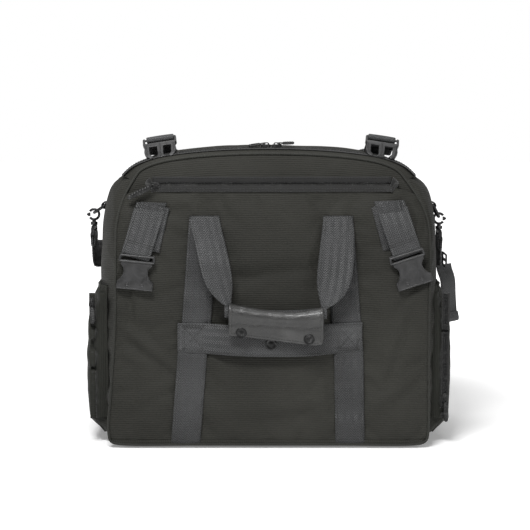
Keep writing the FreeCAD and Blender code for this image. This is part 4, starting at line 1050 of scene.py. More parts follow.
def handle_set(nm, n, body):
    """n = -1 front, +1 back. Edge lines of both legs run from the sewn anchor down into the grip."""
    sy = lambda y: y if n < 0 else -y
    Lo = [(-100.0, -104.9, 297.6), (-100.2, -107.8, 291), (-98.2, -112, 279), (-92.6, -122, 260), (-88.0, -129, 240), (-82.5, -133.4, 220), (-75.0, -136, 205.5), (-65.5, -137.2, 195), (-56.5, -137.8, 187.6), (-50.0, -138, 182.6)]
    Li = [(-63.0, -104.9, 297.6), (-61.8, -107.8, 291), (-59.2, -112, 279), (-54.4, -120.5, 260), (-49.6, -128.5, 240), (-46.4, -131.6, 220), (-46.2, -133.6, 206), (-47.2, -134.5, 196), (-48.0, -136, 185), (-48.0, -136.5, 173.5)]
    Ro = [(107.0, -104.9, 297.6), (107.2, -107.8, 291), (108.2, -112, 279), (108.2, -121.5, 260), (107.0, -128.5, 240), (104.2, -132.4, 220), (98.8, -135.6, 205.5), (91.0, -137.2, 195.5), (80.6, -138, 187.4), (68.8, -138, 182.0)]
    Ri = [(69.0, -104.9, 297.6), (68.6, -107.8, 291), (67.2, -112, 279), (64.6, -121.5, 260), (62.0, -128.5, 240), (60.4, -132.6, 220), (61.4, -134.6, 206), (63.4, -135.4, 196), (65.6, -136.2, 185), (66.4, -136.5, 172.5)]
    st = Stitch()
    out = []
    if n > 0:
        Lo, Li, Ro, Ri = ([(x, -y + 0.0, z) for x, y, z in q] for q in (Lo, Li, Ro, Ri))
    for tag, ea, eb in (("left", Lo, Li), ("right", Ri, Ro)):
        a, b = curve(ea, 60), curve(eb, 60)
        mid = (a + b) / 2
        if n > 0:
            dy = PIV[1] + 1.2 - mid[0, 1]
            a[:, 1] += dy * np.linspace(1, 0, 60)
            b[:, 1] += dy * np.linspace(1, 0, 60)
        o = band("handle_webbing_%s_%s" % (nm, tag), a, b, 2.8, (0, n, 0.2), M_STRAP, body=body, crown=0.35, na=11)
        t = np.gradient((a + b) / 2, axis=0)
        nn = np.cross(t, b - a)
        nn /= np.linalg.norm(nn, axis=1)[:, None]
        nn *= np.sign(nn[:, 1:2] * n)
        for f in (0.08, 0.92):
            st.line((a * (1 - f) + b * f + nn * 1.75)[:46], nn[:46], 3.0, 1.1, 0.34)
        out.append(o)
    # the rolled webbing core seen between the legs and the grip, running through it
    gx = (-56, 73) if n < 0 else (-56, 73)
    core_y = -138.0 if n < 0 else 136.0
    core = curve([(gx[0], core_y, 179.5), (-30, core_y, 176.5), (5, core_y, 174.0), (45, core_y, 175.0), (gx[1], core_y, 178.0)], 50)
    P = []
    seg = 14
    for k, c in enumerate(core):
        for q in range(seg):
            an = 2 * math.pi * q / seg
            P.append(c + V3(0, 4.2 * math.cos(an), 7.4 * math.sin(an)))
    P = np.array(P).reshape(len(core), seg, 3)
    f = grid_faces(len(core), seg, False, True)
    f.append(tuple(range(seg)))
    f.append(tuple((len(core) - 1) * seg + k for k in reversed(range(seg))))
    o = recalc(make("handle_core_" + nm, P.reshape(-1, 3), f, M_STRAP, arc_uv(P), body))
    out.append(o)
    st.build("handle_thread_" + nm, body)
    # sewn bar at each anchor
    st2 = Stitch()
    for x0, x1 in ((-99.5, -63.5), (69.5, 106.5)):
        for dz in (0, -2.6, -5.2):
            y = (PIV[n] + n * 2.9)
            st2.line(np.linspace((x0 + 1.5, y - n * 0.0 + n * max(0, (-dz) * 0.42), 294.8 + dz), (x1 - 1.5, y + n * max(0, (-dz) * 0.42), 294.8 + dz), 14), (0, n, 0.35), 2.2, 0.7, 0.42)
    st2.build("handle_bartack_" + nm, "root")
    return out


hf = handle_set("front", -1, "front_handle")
hr = handle_set("rear", 1, "rear_handle")
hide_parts("front_handle_web")
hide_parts("rear_handle_web")

# leather wrap
GX0, GX1 = -51.5, 69.5
NS = 56
g_top = [(GX0, 190.5), (-36, 187.6), (-16, 183.8), (5, 181.0), (18, 180.2), (43, 181.0), (58, 183.2), (GX1, 185.0)]
g_val = [(GX0, 166.5), (-11, 164.0), (26, 161.6), (GX1, 160.0)]
g_bot = [(GX0, 149.5), (-40, 148.6), (-27, 147.2), (2, 143.6), (30, 140.0), (48, 137.8), (62, 137.2), (67, 139.0), (GX1, 144.0)]
g_rad = [(GX0, 1.06), (-44, 1.0), (-16, 0.92), (14, 0.88), (40, 0.92), (60, 0.99), (GX1, 1.05)]
ringN = 0
P = []
for k in range(NS):
    a = k / (NS - 1)
    x = GX0 + (GX1 - GX0) * a
    zt, zv, zb, rr = (smooth(q, x) for q in (g_top, g_val, g_bot, g_rad))
    cy = -138.2
    zc = (zt + zv) / 2
    hz = (zt - zv) / 2
    ry = 10.6 * rr
    sect = []
    # outer skin: from the back of the flap up over the roll and down the front to the flap's lower edge
    fb = -143.1
    sect += [(fb + 1.6, zb + 0.6), (fb + 1.8, zb + 6), (fb + 2.3, zv - 3.5), (cy + 3.0, zv + 0.5), (cy + ry * 0.72, zc - hz * 0.55),
             (cy + ry, zc), (cy + ry * 0.86, zc + hz * 0.55), (cy + ry * 0.45, zt - 0.8), (cy, zt), (cy - ry * 0.45, zt - 0.9),
             (cy - ry * 0.86, zc + hz * 0.52), (cy - ry, zc - 0.5), (cy - ry * 0.93, zc - hz * 0.45), (cy - ry * 0.72, zv + 1.6),
             (fb - 1.2, zv - 0.8), (fb - 1.5, zv - 4.5), (fb - 1.3 - 0.5 * lump(x, 1, zv, 0.06, 3.0), (zv + zb) / 2), (fb - 1.1, zb + 3.0), (fb - 0.9, zb + 0.7), (fb + 0.4, zb)]
    c = curve([(y, z) for y, z in sect], 64, closed=True)[:-1]
    bead = 0.5 * math.exp(-((min(a, 1 - a) * NS - 1.2) / 1.1) ** 2)
    edge = 1.0
    pts2 = []
    m = np.array([cy * 0.5 + fb * 0.5, zc])
    for y, z in c:
        d = np.array([y, z]) - m
        L = np.linalg.norm(d)
        wr = 0.22 * lump(x * 2.0, y, z * 0.7, 0.08, 6.0)
        d = d / L * (L + bead + wr)
        pts2.append((x, m[0] + d[0], m[1] + d[1]))
    ringN = len(pts2)
    P.append(pts2)
P = np.array(P)
faces = grid_faces(NS, ringN, False, True)
faces.append(tuple(range(ringN)))
faces.append(tuple((NS - 1) * ringN + k for k in reversed(range(ringN))))
grip = recalc(make("grip_leather", P.reshape(-1, 3), faces, M_LEATHER, arc_uv(P), "front_handle"))
subdiv(grip, 1)
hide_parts("handle_grip")
stg = Stitch()


def grip_face(x, z):
    h = hit(T_GRIP, (x, -300, z), (0, 1, 0), (x, -146, z))
    return h


T_GRIP = tree(grip)
line = []
for x in np.linspace(GX0 + 6.5, GX1 - 6.5, 60):
    zb = smooth(g_bot, x)
    line.append(grip_face(x, zb + 3.2) + V3(0, -0.05, 0))
stg.line(line, (0, -1, 0), 2.6, 0.9, 0.34)
line = [grip_face(x, smooth(g_val, x) - 1.2) for x in np.linspace(GX0 + 6.5, GX1 - 6.5, 60)]
stg.line(line, (0, -1, 0), 2.6, 0.9, 0.34)
for x in (GX0 + 4.6, GX1 - 4.6):
    zt, zb = smooth(g_top, x), smooth(g_bot, x)
    line = [grip_face(x, z) for z in np.linspace(zb + 3, zt - 4, 30)]
    stg.line(line, (0, -1, 0), 2.4, 0.9, 0.36)
stg.build("grip_thread", "front_handle")
c1 = grip_face(-35.0, 153.0) + V3(0, 0.1, 0)
c2 = grip_face(50.5, 145.0) + V3(0, 0.1, 0)
o1 = snap_cap("grip_snap_cap_a", c1, (0, -1, 0), 6.8, "front_handle")
o2 = snap_cap("grip_snap_cap_b", c2, (0, -1, 0), 6.8, "front_handle")
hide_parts("grip_snaps")

# ------------------------------------------------------------------ front straps with their stitched ends
LEAN = math.radians(-3.0035)


def turn(ang):
    return Matrix.Rotation(LEAN, 3, "X") @ Matrix.Rotation(math.radians(ang), 3, "Y")


def local(c, ang, v):
    return np.array(Vector(c) + turn(ang) @ Vector(v))


STR = {"left": ((-149.0, front_y(307.0) - 0.15, 307.0), 17.0), "right": ((153.0, front_y(309.0) - 0.9, 309.0), -19.5)}
for nm, (c, ang) in STR.items():
    loopyz = [(-2.6, 0.5), (-4.4, -5), (-7.6, -16), (-10.4, -30), (-11.5, -44), (-12.0, -54), (-12.2, -60), (-11.2, -63.9), (-8.4, -65.3),
              (-5.6, -63.9), (-4.7, -60), (-4.5, -52), (-4.6, -40), (-4.0, -26), (-2.6, -12), (-1.2, -3), (-0.9, 0.5)]
    yz = curve(loopyz, 96)
    path = np.array([local(c, ang, (0, y, z)) for y, z in yz])
    side = local((0, 0, 0), ang, (1, 0, 0))
    t = np.gradient(path, axis=0)
    nrm = np.cross(side[None, :], t)
    nrm *= -1 if nrm[0, 1] > 0 else 1
    # one continuous sense of outward round the loop
    down = local((0, 0, 0), ang, (0, 0, -1))
    out_s = -1.0 if nm == "left" else 1.0
    fall = np.clip((np.linalg.norm(path - path[0], axis=1)) / 46.0, 0, 1)
    ea, eb = np.zeros_like(path), np.zeros_like(path)
    for k in range(len(path)):
        f = 1 - fall[k]
        w = 18.6 + 0.9 * f
        mid = path[k] + V3(out_s * 2.6 * (1 - 0.25 * fall[k]), 0, 0)
        ea[k] = mid - side * w + down * (w * math.tan(math.radians(ang)) * f * 0.9)
        eb[k] = mid + side * w - down * (w * math.tan(math.radians(ang)) * f * 0.9)
    o = band("front_strap_web_" + nm, ea, eb, 1.6, nrm, M_STRAP, body="flap_" + nm, na=9)
    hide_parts("front_strap_" + nm)
    st = Stitch()
    front = path[:56]
    fn = nrm[:56] / np.linalg.norm(nrm[:56], axis=1)[:, None]
    for q in (-15.6, 15.6):
        st.line(front[6:] + side * q + V3(out_s * 2.3, 0, 0) + fn[6:] * 0.98, fn[6:], 3.0, 1.1, 0.34)
    for zz in (-49.0, -46.6):
        k = int(np.argmin(np.abs(yz[:50, 1] - zz)))
        st.line(np.linspace(path[k] - side * 16.5, path[k] + side * 16.5, 12) + fn[min(k, 55)] * 1.05, fn[min(k, 55)], 2.4, 0.7, 0.42)
    st.build("front_strap_thread_" + nm, "flap_" + nm)
    # sewn-down end above the fold, and the backing tab that shows beside the strap
    tp = np.array([local(c, ang, (0, y, z)) for y, z in ((-1.1, 8.5), (-1.5, 6.5), (-2.0, 3.5), (-2.4, 0.9))])
    tp = curve(tp, 14) + V3(out_s * 2.6, 0, 0)
    slant = down * (18.5 * math.tan(math.radians(ang)) * 0.9)
    ta, tb = tp - side * 18.5 + slant, tp + side * 18.5 - slant
    for row in (ta, tb):
        for k in range(len(row)):
            row[k, 1] = min(row[k, 1], fy(row[k, 0], row[k, 2]) - 1.2)
    o = band("front_tab_web_" + nm, ta, tb, 1.7, (0, -1, 0), M_STRAP, body="root", na=9)
    if nm == "left":
        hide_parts("front_tabs")
    for zz in (8.2, 3.4):
        sa = np.array(local(c, ang, (-16, -2.9, zz * 0.8))) + slant * 0.86 + V3(out_s * 2.6, 0, 0)
        sb = np.array(local(c, ang, (16, -2.9, zz * 0.8))) - slant * 0.86 + V3(out_s * 2.6, 0, 0)
        st_root.line(np.linspace(sa, sb, 12), (0, -1, 0), 2.4, 0.7, 0.42)
    sgn = 1 if nm == "left" else -1
    bp2 = [local(c, ang * 0.78, (sgn * 3.5, y, z)) for y, z in ((-0.7, 6), (-0.9, -4), (-0.9, -20), (-0.9, -38), (-0.9, -52))]
    bp2 = curve(bp2, 30)
    for k in range(len(bp2)):
        bp2[k, 1] = min(bp2[k, 1], min(fy(bp2[k, 0] + d, bp2[k, 2]) for d in (-16, 0, 16)) - 1.0)
    bs = local((0, 0, 0), ang * 0.78, (1, 0, 0))
    strip("strap_backing_" + nm, bp2, bs, 37.0, 1.4, (0, -1, 0), M_WEB, body="root", na=7)

# ------------------------------------------------------------------ top straps on the lid
TX, TZ, TA = 143.0, 371.4, 8.6


def top_pt(s, v):
    m = Matrix.Rotation(math.radians(s * TA), 3, "Y")
    return np.array(Vector((s * TX, 0, TZ)) + m @ Vector(v))


for s, nm in ((-1, "left"), (1, "right")):
    st = Stitch()
    side = np.array(Matrix.Rotation(math.radians(s * TA), 3, "Y") @ Vector((1, 0, 0)))
    up = np.array(Matrix.Rotation(math.radians(s * TA), 3, "Y") @ Vector((0, 0, 1)))
    rows = []
    for y in (84, 70, 55, 40, 25, 10, 0, -6):
        p = top_pt(s, (0, y, 1.9))
        zt = max(lz(p[0] + d * 17, y) - d * 17 * side[2] / side[0] for d in (-1, 0, 1))
        p[2] = max(p[2], zt + 1.0)
        rows.append(p)
    dx = 4.5 if s < 0 else 1.0
    rows += [top_pt(s, (0, y, z)) + V3(dx * min(1, (-6 - y) / 30), 0, 0) for y, z in ((-12, 3.6), (-22, 9.0), (-33, 17.5), (-38.5, 20.0))]
    rows += [top_pt(s, (0, y, z)) + V3(dx * max(0, min(1, (-6 - y) / 30)), 0, 0) for y, z in ((-42.5, 19.9), (-45.3, 22.2), (-45.0, 25.4), (-42.0, 26.6), (-38.0, 25.0), (-30, 19.4), (-20, 12.6), (-12, 7.6), (-4, 5.6), (4, 5.0))]
    path = curve(rows, 110)
    t = np.gradient(path, axis=0)
    nrm = np.cross(side[None, :], t)
    if nrm[2].dot(up) > 0:
        nrm = -nrm
    o = strip("top_strap_web_" + nm, path, side, 35.5, 1.6, nrm, M_STRAP, body="lid", na=9)
    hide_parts("top_strap_" + nm)
    for q in (-15.2, 15.2):
        st.line(path[:52] + side * q + up * 1.0, up, 3.0, 1.1, 0.34)
    for y in (80, 76, 30, 26):
        k = int(np.argmin(np.abs(path[:60, 1] - y)))
        st.line(np.linspace(path[k] - side * 16, path[k] + side * 16, 12) + up * 1.05, up, 2.4, 0.7, 0.42)
    st.build("top_strap_thread_" + nm, "lid")

# ------------------------------------------------------------------ zips


def zip_run(name, path, normal, across, body, pitch=1.9, half=1.9, sgn=1, every=1, h=1.1):
    """One row of coil teeth along a path. across points from the tape to the mating row."""
    p = np.asarray(path, float)
    s = np.concatenate([[0], np.cumsum(np.linalg.norm(np.diff(p, axis=0), axis=1))])
    n = int(s[-1] / pitch)
    nr, ac = np.asarray(normal, float), np.asarray(across, float)
    V, F = [], []
    for k in range(n):
        q = (k + 0.5) * pitch
        c = np.array([np.interp(q, s, p[:, j]) for j in range(3)])
        nn = nr if nr.ndim == 1 else np.array([np.interp(q, s, nr[:, j]) for j in range(3)])
        aa = ac if ac.ndim == 1 else np.array([np.interp(q, s, ac[:, j]) for j in range(3)])
        nn, aa = nn / np.linalg.norm(nn), aa / np.linalg.norm(aa)
        d = np.cross(nn, aa)
        base = len(V)
        prof = [(-half, 0.62, 0.75), (-half * 0.5, 0.62, 1.0), (half * 0.35, 0.55, 1.0), (half * 0.75, 0.72, 0.95), (half, 0.5, 0.6)]
        for a, w, hh in prof:
            ww = w * pitch / 2 * 0.95
            for dx, dz in ((-ww, -0.1), (-ww, hh * h * 0.75), (-ww * 0.55, hh * h), (ww * 0.55, hh * h), (ww, hh * h * 0.75), (ww, -0.1)):
                V.append(c + aa * a + d * dx + nn * dz)
        m = 6
        for i in range(len(prof) - 1):
            for j in range(m):
                F.append((base + i * m + j, base + i * m + (j + 1) % m, base + (i + 1) * m + (j + 1) % m, base + (i + 1) * m + j))
        F.append(tuple(base + j for j in reversed(range(m))))
        F.append(tuple(base + (len(prof) - 1) * m + j for j in range(m)))
    return recalc(make(name, np.array(V), F, M_ZIP, None, body))


arch_up = np.stack([arch_n[:, 0], np.zeros(120), arch_n[:, 1]], 1)
st = Stitch()
o = band("main_zip_tape_front", arch_line(-66.5, -0.2), arch_line(-57.6, 1.0), 1.1, arch_up, M_TAPE, slot="zip_tape", crown=0.1)
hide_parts("main_zip_front_tape")
st_root.line(arch_line(-62.8, 1.2), arch_up, 2.8, 0.9, 0.3)
zip_run("main_zip_teeth_front", arch_line(-57.5, 1.3), arch_up, (0, 1, 0), "root", half=1.5)
lidz = np.array([(x, -50, max(z, lz(x, -50)) + 0.3) for x, z in ARCH])
o = band("main_zip_tape_lid", arch_line(-54.6, 1.1), arch_line(-45.5, 1.8), 1.1, arch_up, M_TAPE, body="lid", slot="zip_tape", crown=0.1)
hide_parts("main_zip_lid_tape")
st.line(arch_line(-49.5, 2.4), arch_up, 2.8, 0.9, 0.3)
st.build("main_zip_thread_lid", "lid")
zip_run("main_zip_teeth_lid", arch_line(-54.8, 1.4), arch_up, (0, -1, 0), "lid", half=1.5)
# front pocket: open zip, one row on the panel's edge and one on the wall
lip_x = np.linspace(-149, 157, 90)
lip_a, lip_b = [], []
for x in lip_x:
    e = max(0.0, (abs(x - 4) - 140) / 13.5)
    zt = 337.0 - 2.6 * max(0, e) ** 2
    yt = min(fy(x, 328), fy(x, 334))
    lip_a.append((x, min(fy(x, 325.0), fy(x, 329)) - 0.9, 328.4 + 0.6 * max(0, e) ** 2))
    lip_b.append((x, yt - 1.1, zt))
lip_a, lip_b = np.array(lip_a), np.array(lip_b)
o = band("pocket_zip_tape_front", lip_a, lip_b, 1.3, (0, -1, 0), M_TAPE, slot="zip_tape", crown=0.12, na=9)
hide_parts("pocket_zip_tape")
st_root.line(lip_a * 0.86 + lip_b * 0.14 + V3(0, -0.9, 0), (0, -1, 0), 3.0, 1.0, 0.32)
st_root.line(lip_a * 0.5 + lip_b * 0.5 + V3(0, -0.9, 0), (0, -1, 0), 3.0, 1.0, 0.32)
zip_run("pocket_zip_teeth_front", lip_b + V3(0, 0.2, 0.3), (0, -1, 0), (0, 0, 1), "root", half=1.7)
hem = tube("pocket_hem_roll", lip_b + V3(0, 1.6, -0.6), 1.7, M_SHELL, segs=10)
rx = np.linspace(-150, 157, 80)
ra = np.array([(x, -85.6 + 0.0, 339.0) for x in rx])
rb = np.array([(x, -84.9 + 0.0, 347.0) for x in rx])
T_WALL = tree(upper_wall)
for q in (ra, rb):
    for k in range(len(q)):
        q[k, 1] = hit(T_WALL, (q[k, 0], -300, q[k, 2]), (0, 1, 0), q[k])[1] - 0.9
band("pocket_zip_tape_rear", ra, rb, 1.2, (0, -1, 0), M_TAPE, slot="zip_tape", crown=0.1)
zip_run("pocket_zip_teeth_rear", ra + V3(0, -0.6, -0.4), (0, -1, 0), (0, 0, -1), "root", half=1.6)
st_root.line(rb * 0.75 + ra * 0.25 + V3(0, -0.8, 0), (0, -1, 0), 3.0, 1.0, 0.3)
# gusset web that closes each end of the pocket mouth
for s, x0 in ((-1, -150.5), (1, 158.5)):
    k = 0 if s < 0 else -1
    a, b = lip_b[k], ra[k]
    g = [a + V3(s * 1.0, 0, -1), a * 0.6 + b * 0.4 + V3(s * 6, 0, -3), a * 0.25 + b * 0.75 + V3(s * 5, 0, -2), b + V3(s * 1.0, 0, 1)]
    strip("pocket_end_tab_" + ("left" if s < 0 else "right"), curve(g, 20), (s * 0.35, 0, 1), 13, 1.3, (0, -1, 0), M_TAPE, slot="zip_tape")

# side pocket zips
# both sides: zip down the pocket's front edge, the left one with finer, flatter teeth on a tape of pocket cloth
sideY = -93.3
for s, nm in ((-1, "left"), (1, "right")):
    tr = T_POUCH[s]

    def on(y, z, lift):
        h = hit(tr, (s * 300, y, z), (-s, 0, 0), (s * 226, y, z))
        return h + V3(s * lift, 0, 0)

    line = []
    for z in np.linspace(198, 34, 70):
        line.append((s * 228.0, -92.9, z))
    line = np.array(line)
    base = line.copy()
    # the zip sits on a fabric return that closes the pouch's front edge
    P = np.zeros((70, 10, 3))
    for k in range(70):
        z = line[k, 2]
        w0 = smooth(OUT_Z, z)
        inner = 207.5
        outer = on(-78, z, 0.0)
        for j in range(10):
            b = j / 9
            x = inner + (abs(outer[0]) - 1.2 - inner) * b
            y = -90.6 - 1.5 * math.sin(math.pi * min(1, b * 1.1)) ** 0.7 + 13.5 * max(0, b - 0.66) ** 1.3 * 2.2
            P[k, j] = (s * x, y, z)
    ret = sheet_obj("pocket_front_return_" + nm, P, M_POCKET, flip=s < 0)
    thicken(ret, 1.6, M_LINING)
    T_RET = tree(ret)
    for k in range(70):
        line[k, 1] = hit(T_RET, (line[k, 0], -300, line[k, 2]), (0, 1, 0), line[k])[1] - 0.6
    o = band(nm + "_pocket_zip_tape", line + V3(-s * (5.2 if s > 0 else 3.6), 0, 0), line + V3(s * (5.2 if s > 0 else 3.6), 0, 0), 1.0, (0, -1, 0), M_TAPE if s > 0 else M_POCKET, slot="zip_tape", crown=0.1)
    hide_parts(nm + "_zip_tape")
    if s > 0:
        zip_run(nm + "_pocket_zip_teeth_a", line + V3(-s * 1.35, -0.5, 0), (0, -1, 0), (s, 0, 0), "root", half=1.4)
        zip_run(nm + "_pocket_zip_teeth_b", line + V3(s * 1.35, -0.5, 0), (0, -1, 0), (-s, 0, 0), "root", half=1.4)
    else:
        zip_run(nm + "_pocket_zip_teeth", line + V3(0, -0.1, 0), (0, -1, 0), (s, 0, 0), "root", pitch=1.6, half=1.1, h=0.5)
    st_root.line(line + V3(-s * 4.2, -0.7, 0), (0, -1, 0), 2.8, 0.9, 0.3)
    # piped rim round the pouch and its bound mouth
    rim = []
    for z in np.linspace(14, 200, 40):
        rim.append((s * (abs(on(-80, z, 0)[0]) - 0.6), -81.0, z))
    rim = np.array(rim)
    rim[:, 1] = [-80.0 - 2.0 * math.sin(math.pi * k / 39) for k in range(40)]
    mouth = []
    for y in np.linspace(-78, 78, 50):
        h = on(y, 205.5, 0.4)
        mouth.append((h[0], y, 207.0))
    allp = np.vstack([rim[::1], mouth])
    tube(nm + "_pocket_piping", curve(allp[::4], 140), 1.35, M_PIPE, segs=8)
    mrow = np.array(mouth)
    band(nm + "_pocket_binding", mrow + V3(s * 0.5, 0, -9), mrow + V3(-s * 0.2, 0, 0.6), 1.4, (s, 0, 0.2), M_TAPE, slot="zip_tape", crown=0.2)
    st_root.line(mrow + V3(s * 1.5, 0, -6.5), (s, 0, 0), 3.0, 1.0, 0.32)

# ------------------------------------------------------------------ ring tabs, shoulder strap and its loose end
for s, nm in ((-1, "left"), (1, "right")):
    pth = [(208.2, 325.0), (210.6, 316.0), (213.2, 309.6), (216.0, 308.6), (219.4, 308.9), (222.0, 306.8), (222.2, 303.4), (219.6, 301.4), (216.4, 302.0), (213.4, 305.4), (210.8, 311.0)]
    pth = curve([(s * x, 0, z) for x, z in pth], 60)
    t = np.gradient(pth, axis=0)
    nrm = np.cross(t, V3(0, 1, 0))
    if nrm[0][0] * s < 0:
        nrm = -nrm
    o = strip("ring_tab_web_" + nm, pth, (0, 1, 0), 27.5, 1.6, nrm, M_STRAP, na=9)
    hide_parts("ring_tab_" + nm)
    for q in (0.0, -3.0):
        st_root.line([(s * (211.4 + 0.3 * q), y, 316.6 + q) for y in np.linspace(-12.5, 12.5, 10)], (s, 0, 0.3), 2.2, 0.7, 0.42)
    box_stitch(st_root, (s * 210.4, 0, 321.0), (0, 1, 0), (s * 0.25, 0, -1), (s, 0, 0.3), 11.5, 2.6, False)

cL, cR = V3(-234.023, 0, 292.5345), V3(228.1, 0, 287.0115)
left_rows = [((cL[0], 0.5, cL[2] - 31.0), (-1, 0, 0)), ((cL[0] - 0.5, 2.5, cL[2] - 46), (-1, 0, 0)), ((-236.0, 46, 236), (-1, 0.1, 0)),
             ((-227.0, 92, 229), (-0.9, 0.4, 0)), ((-206.0, 124, 206), (-0.6, 0.8, 0)), ((-168.0, 142, 164), (-0.25, 1, 0)),
             ((-110.0, 148, 122), (-0.05, 1, 0)), ((-45.0, 148.5, 99), (0, 1, 0))]
right_rows = [((-p[0], p[1], p[2]), (-n[0], n[1], n[2])) for p, n in left_rows]
right_rows[0] = ((cR[0], 0.5, cR[2] - 31.0), (1, 0, 0))
right_rows[1] = ((cR[0] + 0.6, 2.5, cR[2] - 44), (1, 0, 0))
rows = [((cL[0] + 0.6, 0.3, cL[2] - 24.0), (-1, 0, 0))] + left_rows + right_rows[::-1] + [((cR[0] - 0.6, 0.3, cR[2] - 24.0), (1, 0, 0))]
n_s = 220
cs = curve([r[0] for r in rows], n_s)
key = np.array([np.argmin(np.linalg.norm(cs - np.array(r[0]), axis=1)) for r in rows])
ref = np.stack([np.interp(np.arange(n_s), key, [r[1][k] for r in rows]) for k in range(3)], 1)
t, sd, nn = frames_along(cs, ref)
wob = np.array([0.8 * lump(*c, 0.02, 40.0) for c in cs])
o = strip("shoulder_strap_web", cs + nn * wob[:, None] * 0.6, sd, 37.6, 1.7, nn, M_STRAP, na=9)
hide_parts("shoulder_strap")
for q in (-16.2, 16.2):
    st_root.line(cs[2:-2] + sd[2:-2] * q + nn[2:-2] * 1.0, nn[2:-2], 3.2, 1.4, 0.32)
# strap ends looped through the hook frames
for c, s, nm in ((cL, -1, "left"), (cR, 1, "right")):
    zf = c[2] - 25.0
    lp = [(c[0] + s * 1.8, 0.2, zf - 16), (c[0] + s * 2.4, 0.2, zf - 6), (c[0] + s * 2.7, 0, zf - 0.5), (c[0] + s * 1.6, 0, zf + 2.6), (c[0], 0, zf + 3.1),
          (c[0] - s * 1.8, 0, zf + 2.2), (c[0] - s * 2.5, 0, zf - 1.5), (c[0] - s * 2.3, 0.2, zf - 8), (c[0] - s * 1.5, 0.2, zf - 16)]
    lp = curve(lp, 50)
    tt = np.gradient(lp, axis=0)
    nr = np.cross(tt, V3(0, 1, 0))
    if nr[0][0] * s < 0:
        nr = -nr
    strip("strap_loop_" + nm, lp, (0, 1, 0), 36.5, 1.5, nr, M_STRAP, slot="webbing")
    for q in (-11.0, -13.4):
        st_root.line([(c[0] + s * 3.0, y, zf + q) for y in np.linspace(-16, 16, 12)], (s, 0, 0), 2.4, 0.7, 0.42)

tail = curve([(cR[0] + 6.4, -5.0, 226.0), (cR[0] + 7.6, -6.0, 219.0), (239.6, -9.0, 206.0), (240.6, -12.5, 184.0), (242.0, -16.0, 162), (243.6, -17.5, 152.5)], 60)
t, sd, nn = frames_along(tail, (0.72, -0.72, 0.05))
o = strip("strap_tail_web", tail, sd, 31.0, 1.7, nn, M_STRAP, na=9)
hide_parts("strap_tail")
for q in (-13, 13):
    st_root.line(tail[2:-3] + sd[2:-3] * q + nn[2:-3] * 1.0, nn[2:-3], 3.0, 1.1, 0.32)
ke = -4
fold = curve([tail[-9] + nn[-9] * 1.7, tail[-5] + nn[-5] * 1.8, tail[-2] + nn[-2] * 1.8, tail[-1] + nn[-1] * 0.9 + V3(0, 0, -1.6), tail[-1] + V3(0, 0, -1.4)], 20)
strip("strap_tail_fold", fold, sd[-1], 31.0, 1.5, nn[-1], M_STRAP, slot="webbing")
st_root.line(np.linspace(fold[4] - sd[-1] * 13.5, fold[4] + sd[-1] * 13.5, 10) + nn[-1] * 1.1, nn[-1], 2.4, 0.7, 0.42)

st_root.build("root_thread")

# ------------------------------------------------------------------ hard parts that keep their CAD shape
def finish_cad(node, mat, bevel=0.5, seg=2, slot=None):
    o = NODES[node]
    o.data.materials.clear()
    o.data.materials.append(mat)
    if bevel:
        w = o.modifiers.new("weld", "WELD")
        w.merge_threshold = 0.00002
        b = o.modifiers.new("edge", "BEVEL")
        b.width = bevel * K
        b.segments = seg
        b.limit_method = "ANGLE"
        b.angle_limit = math.radians(28)
        b.use_clamp_overlap = True
    return o


for n in ("d_ring_left", "d_ring_right", "hook_body_left", "hook_body_right", "hook_gate_left", "hook_gate_right"):
    finish_cad(n, M_METAL, 0.35, 2)
finish_cad("strap_slider", M_PLASTIC, 0.6, 2)
for n in ("main_slider_left", "main_slider_right", "pocket_slider", "left_slider", "right_slider"):
    finish_cad(n, M_ZIP, 0.5, 2)
finish_cad("feet", M_RUBBER, 0.6, 2)
finish_cad("base_board", M_BOARD, 0.5, 2)


def padded_divider(name, node):
    """Quilted foam wall with a bound edge, filling the CAD board's outline."""
    src = NODES[node]
    co = np.array([src.matrix_world @ v.co for v in src.data.vertices]) / K
    lo, hi = co.min(0), co.max(0)
    xm, t = (lo[0] + hi[0]) / 2, hi[0] - lo[0]
    zs = np.linspace(lo[2] + 2.0, hi[2] - 2.0, 60)
    bot, top = co[co[:, 2] < lo[2] + 3], co[co[:, 2] > hi[2] - 3]
    P = np.zeros((50, 60, 3))
    for j, z in enumerate(zs):
        f = j / 59
        y0 = bot[:, 1].min() * (1 - f) + top[:, 1].min() * f + 2.2
        y1 = bot[:, 1].max() * (1 - f) + top[:, 1].max() * f - 2.2
        for i in range(50):
            P[i, j] = (xm, y0 + (y1 - y0) * i / 49, z)
    o = sheet_obj(name, P, M_LINING)
    edge = np.vstack([P[:, 0], P[-1, 1:], P[-2::-1, -1], P[0, -2:0:-1]])
    thicken(o, t, offset=0.0)
    for v in o.data.vertices:
        x, y, z = v.co.x / K, v.co.y / K, v.co.z / K
        a = abs(math.sin(math.pi * (y + z) / 46.0)) * abs(math.sin(math.pi * (y - z) / 46.0))
        v.co.x = (xm + math.copysign(t / 2 * (0.66 + 0.34 * a ** 0.45), x - xm)) * K
    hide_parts(node)
    tube(name + "_binding", curve(edge[::3], 220, closed=True)[:-1], t / 2 + 0.1, M_PIPE, segs=10, closed=True)
    return o


padded_divider("divider_pad_left", "divider_left")
padded_divider("divider_pad_right", "divider_right")


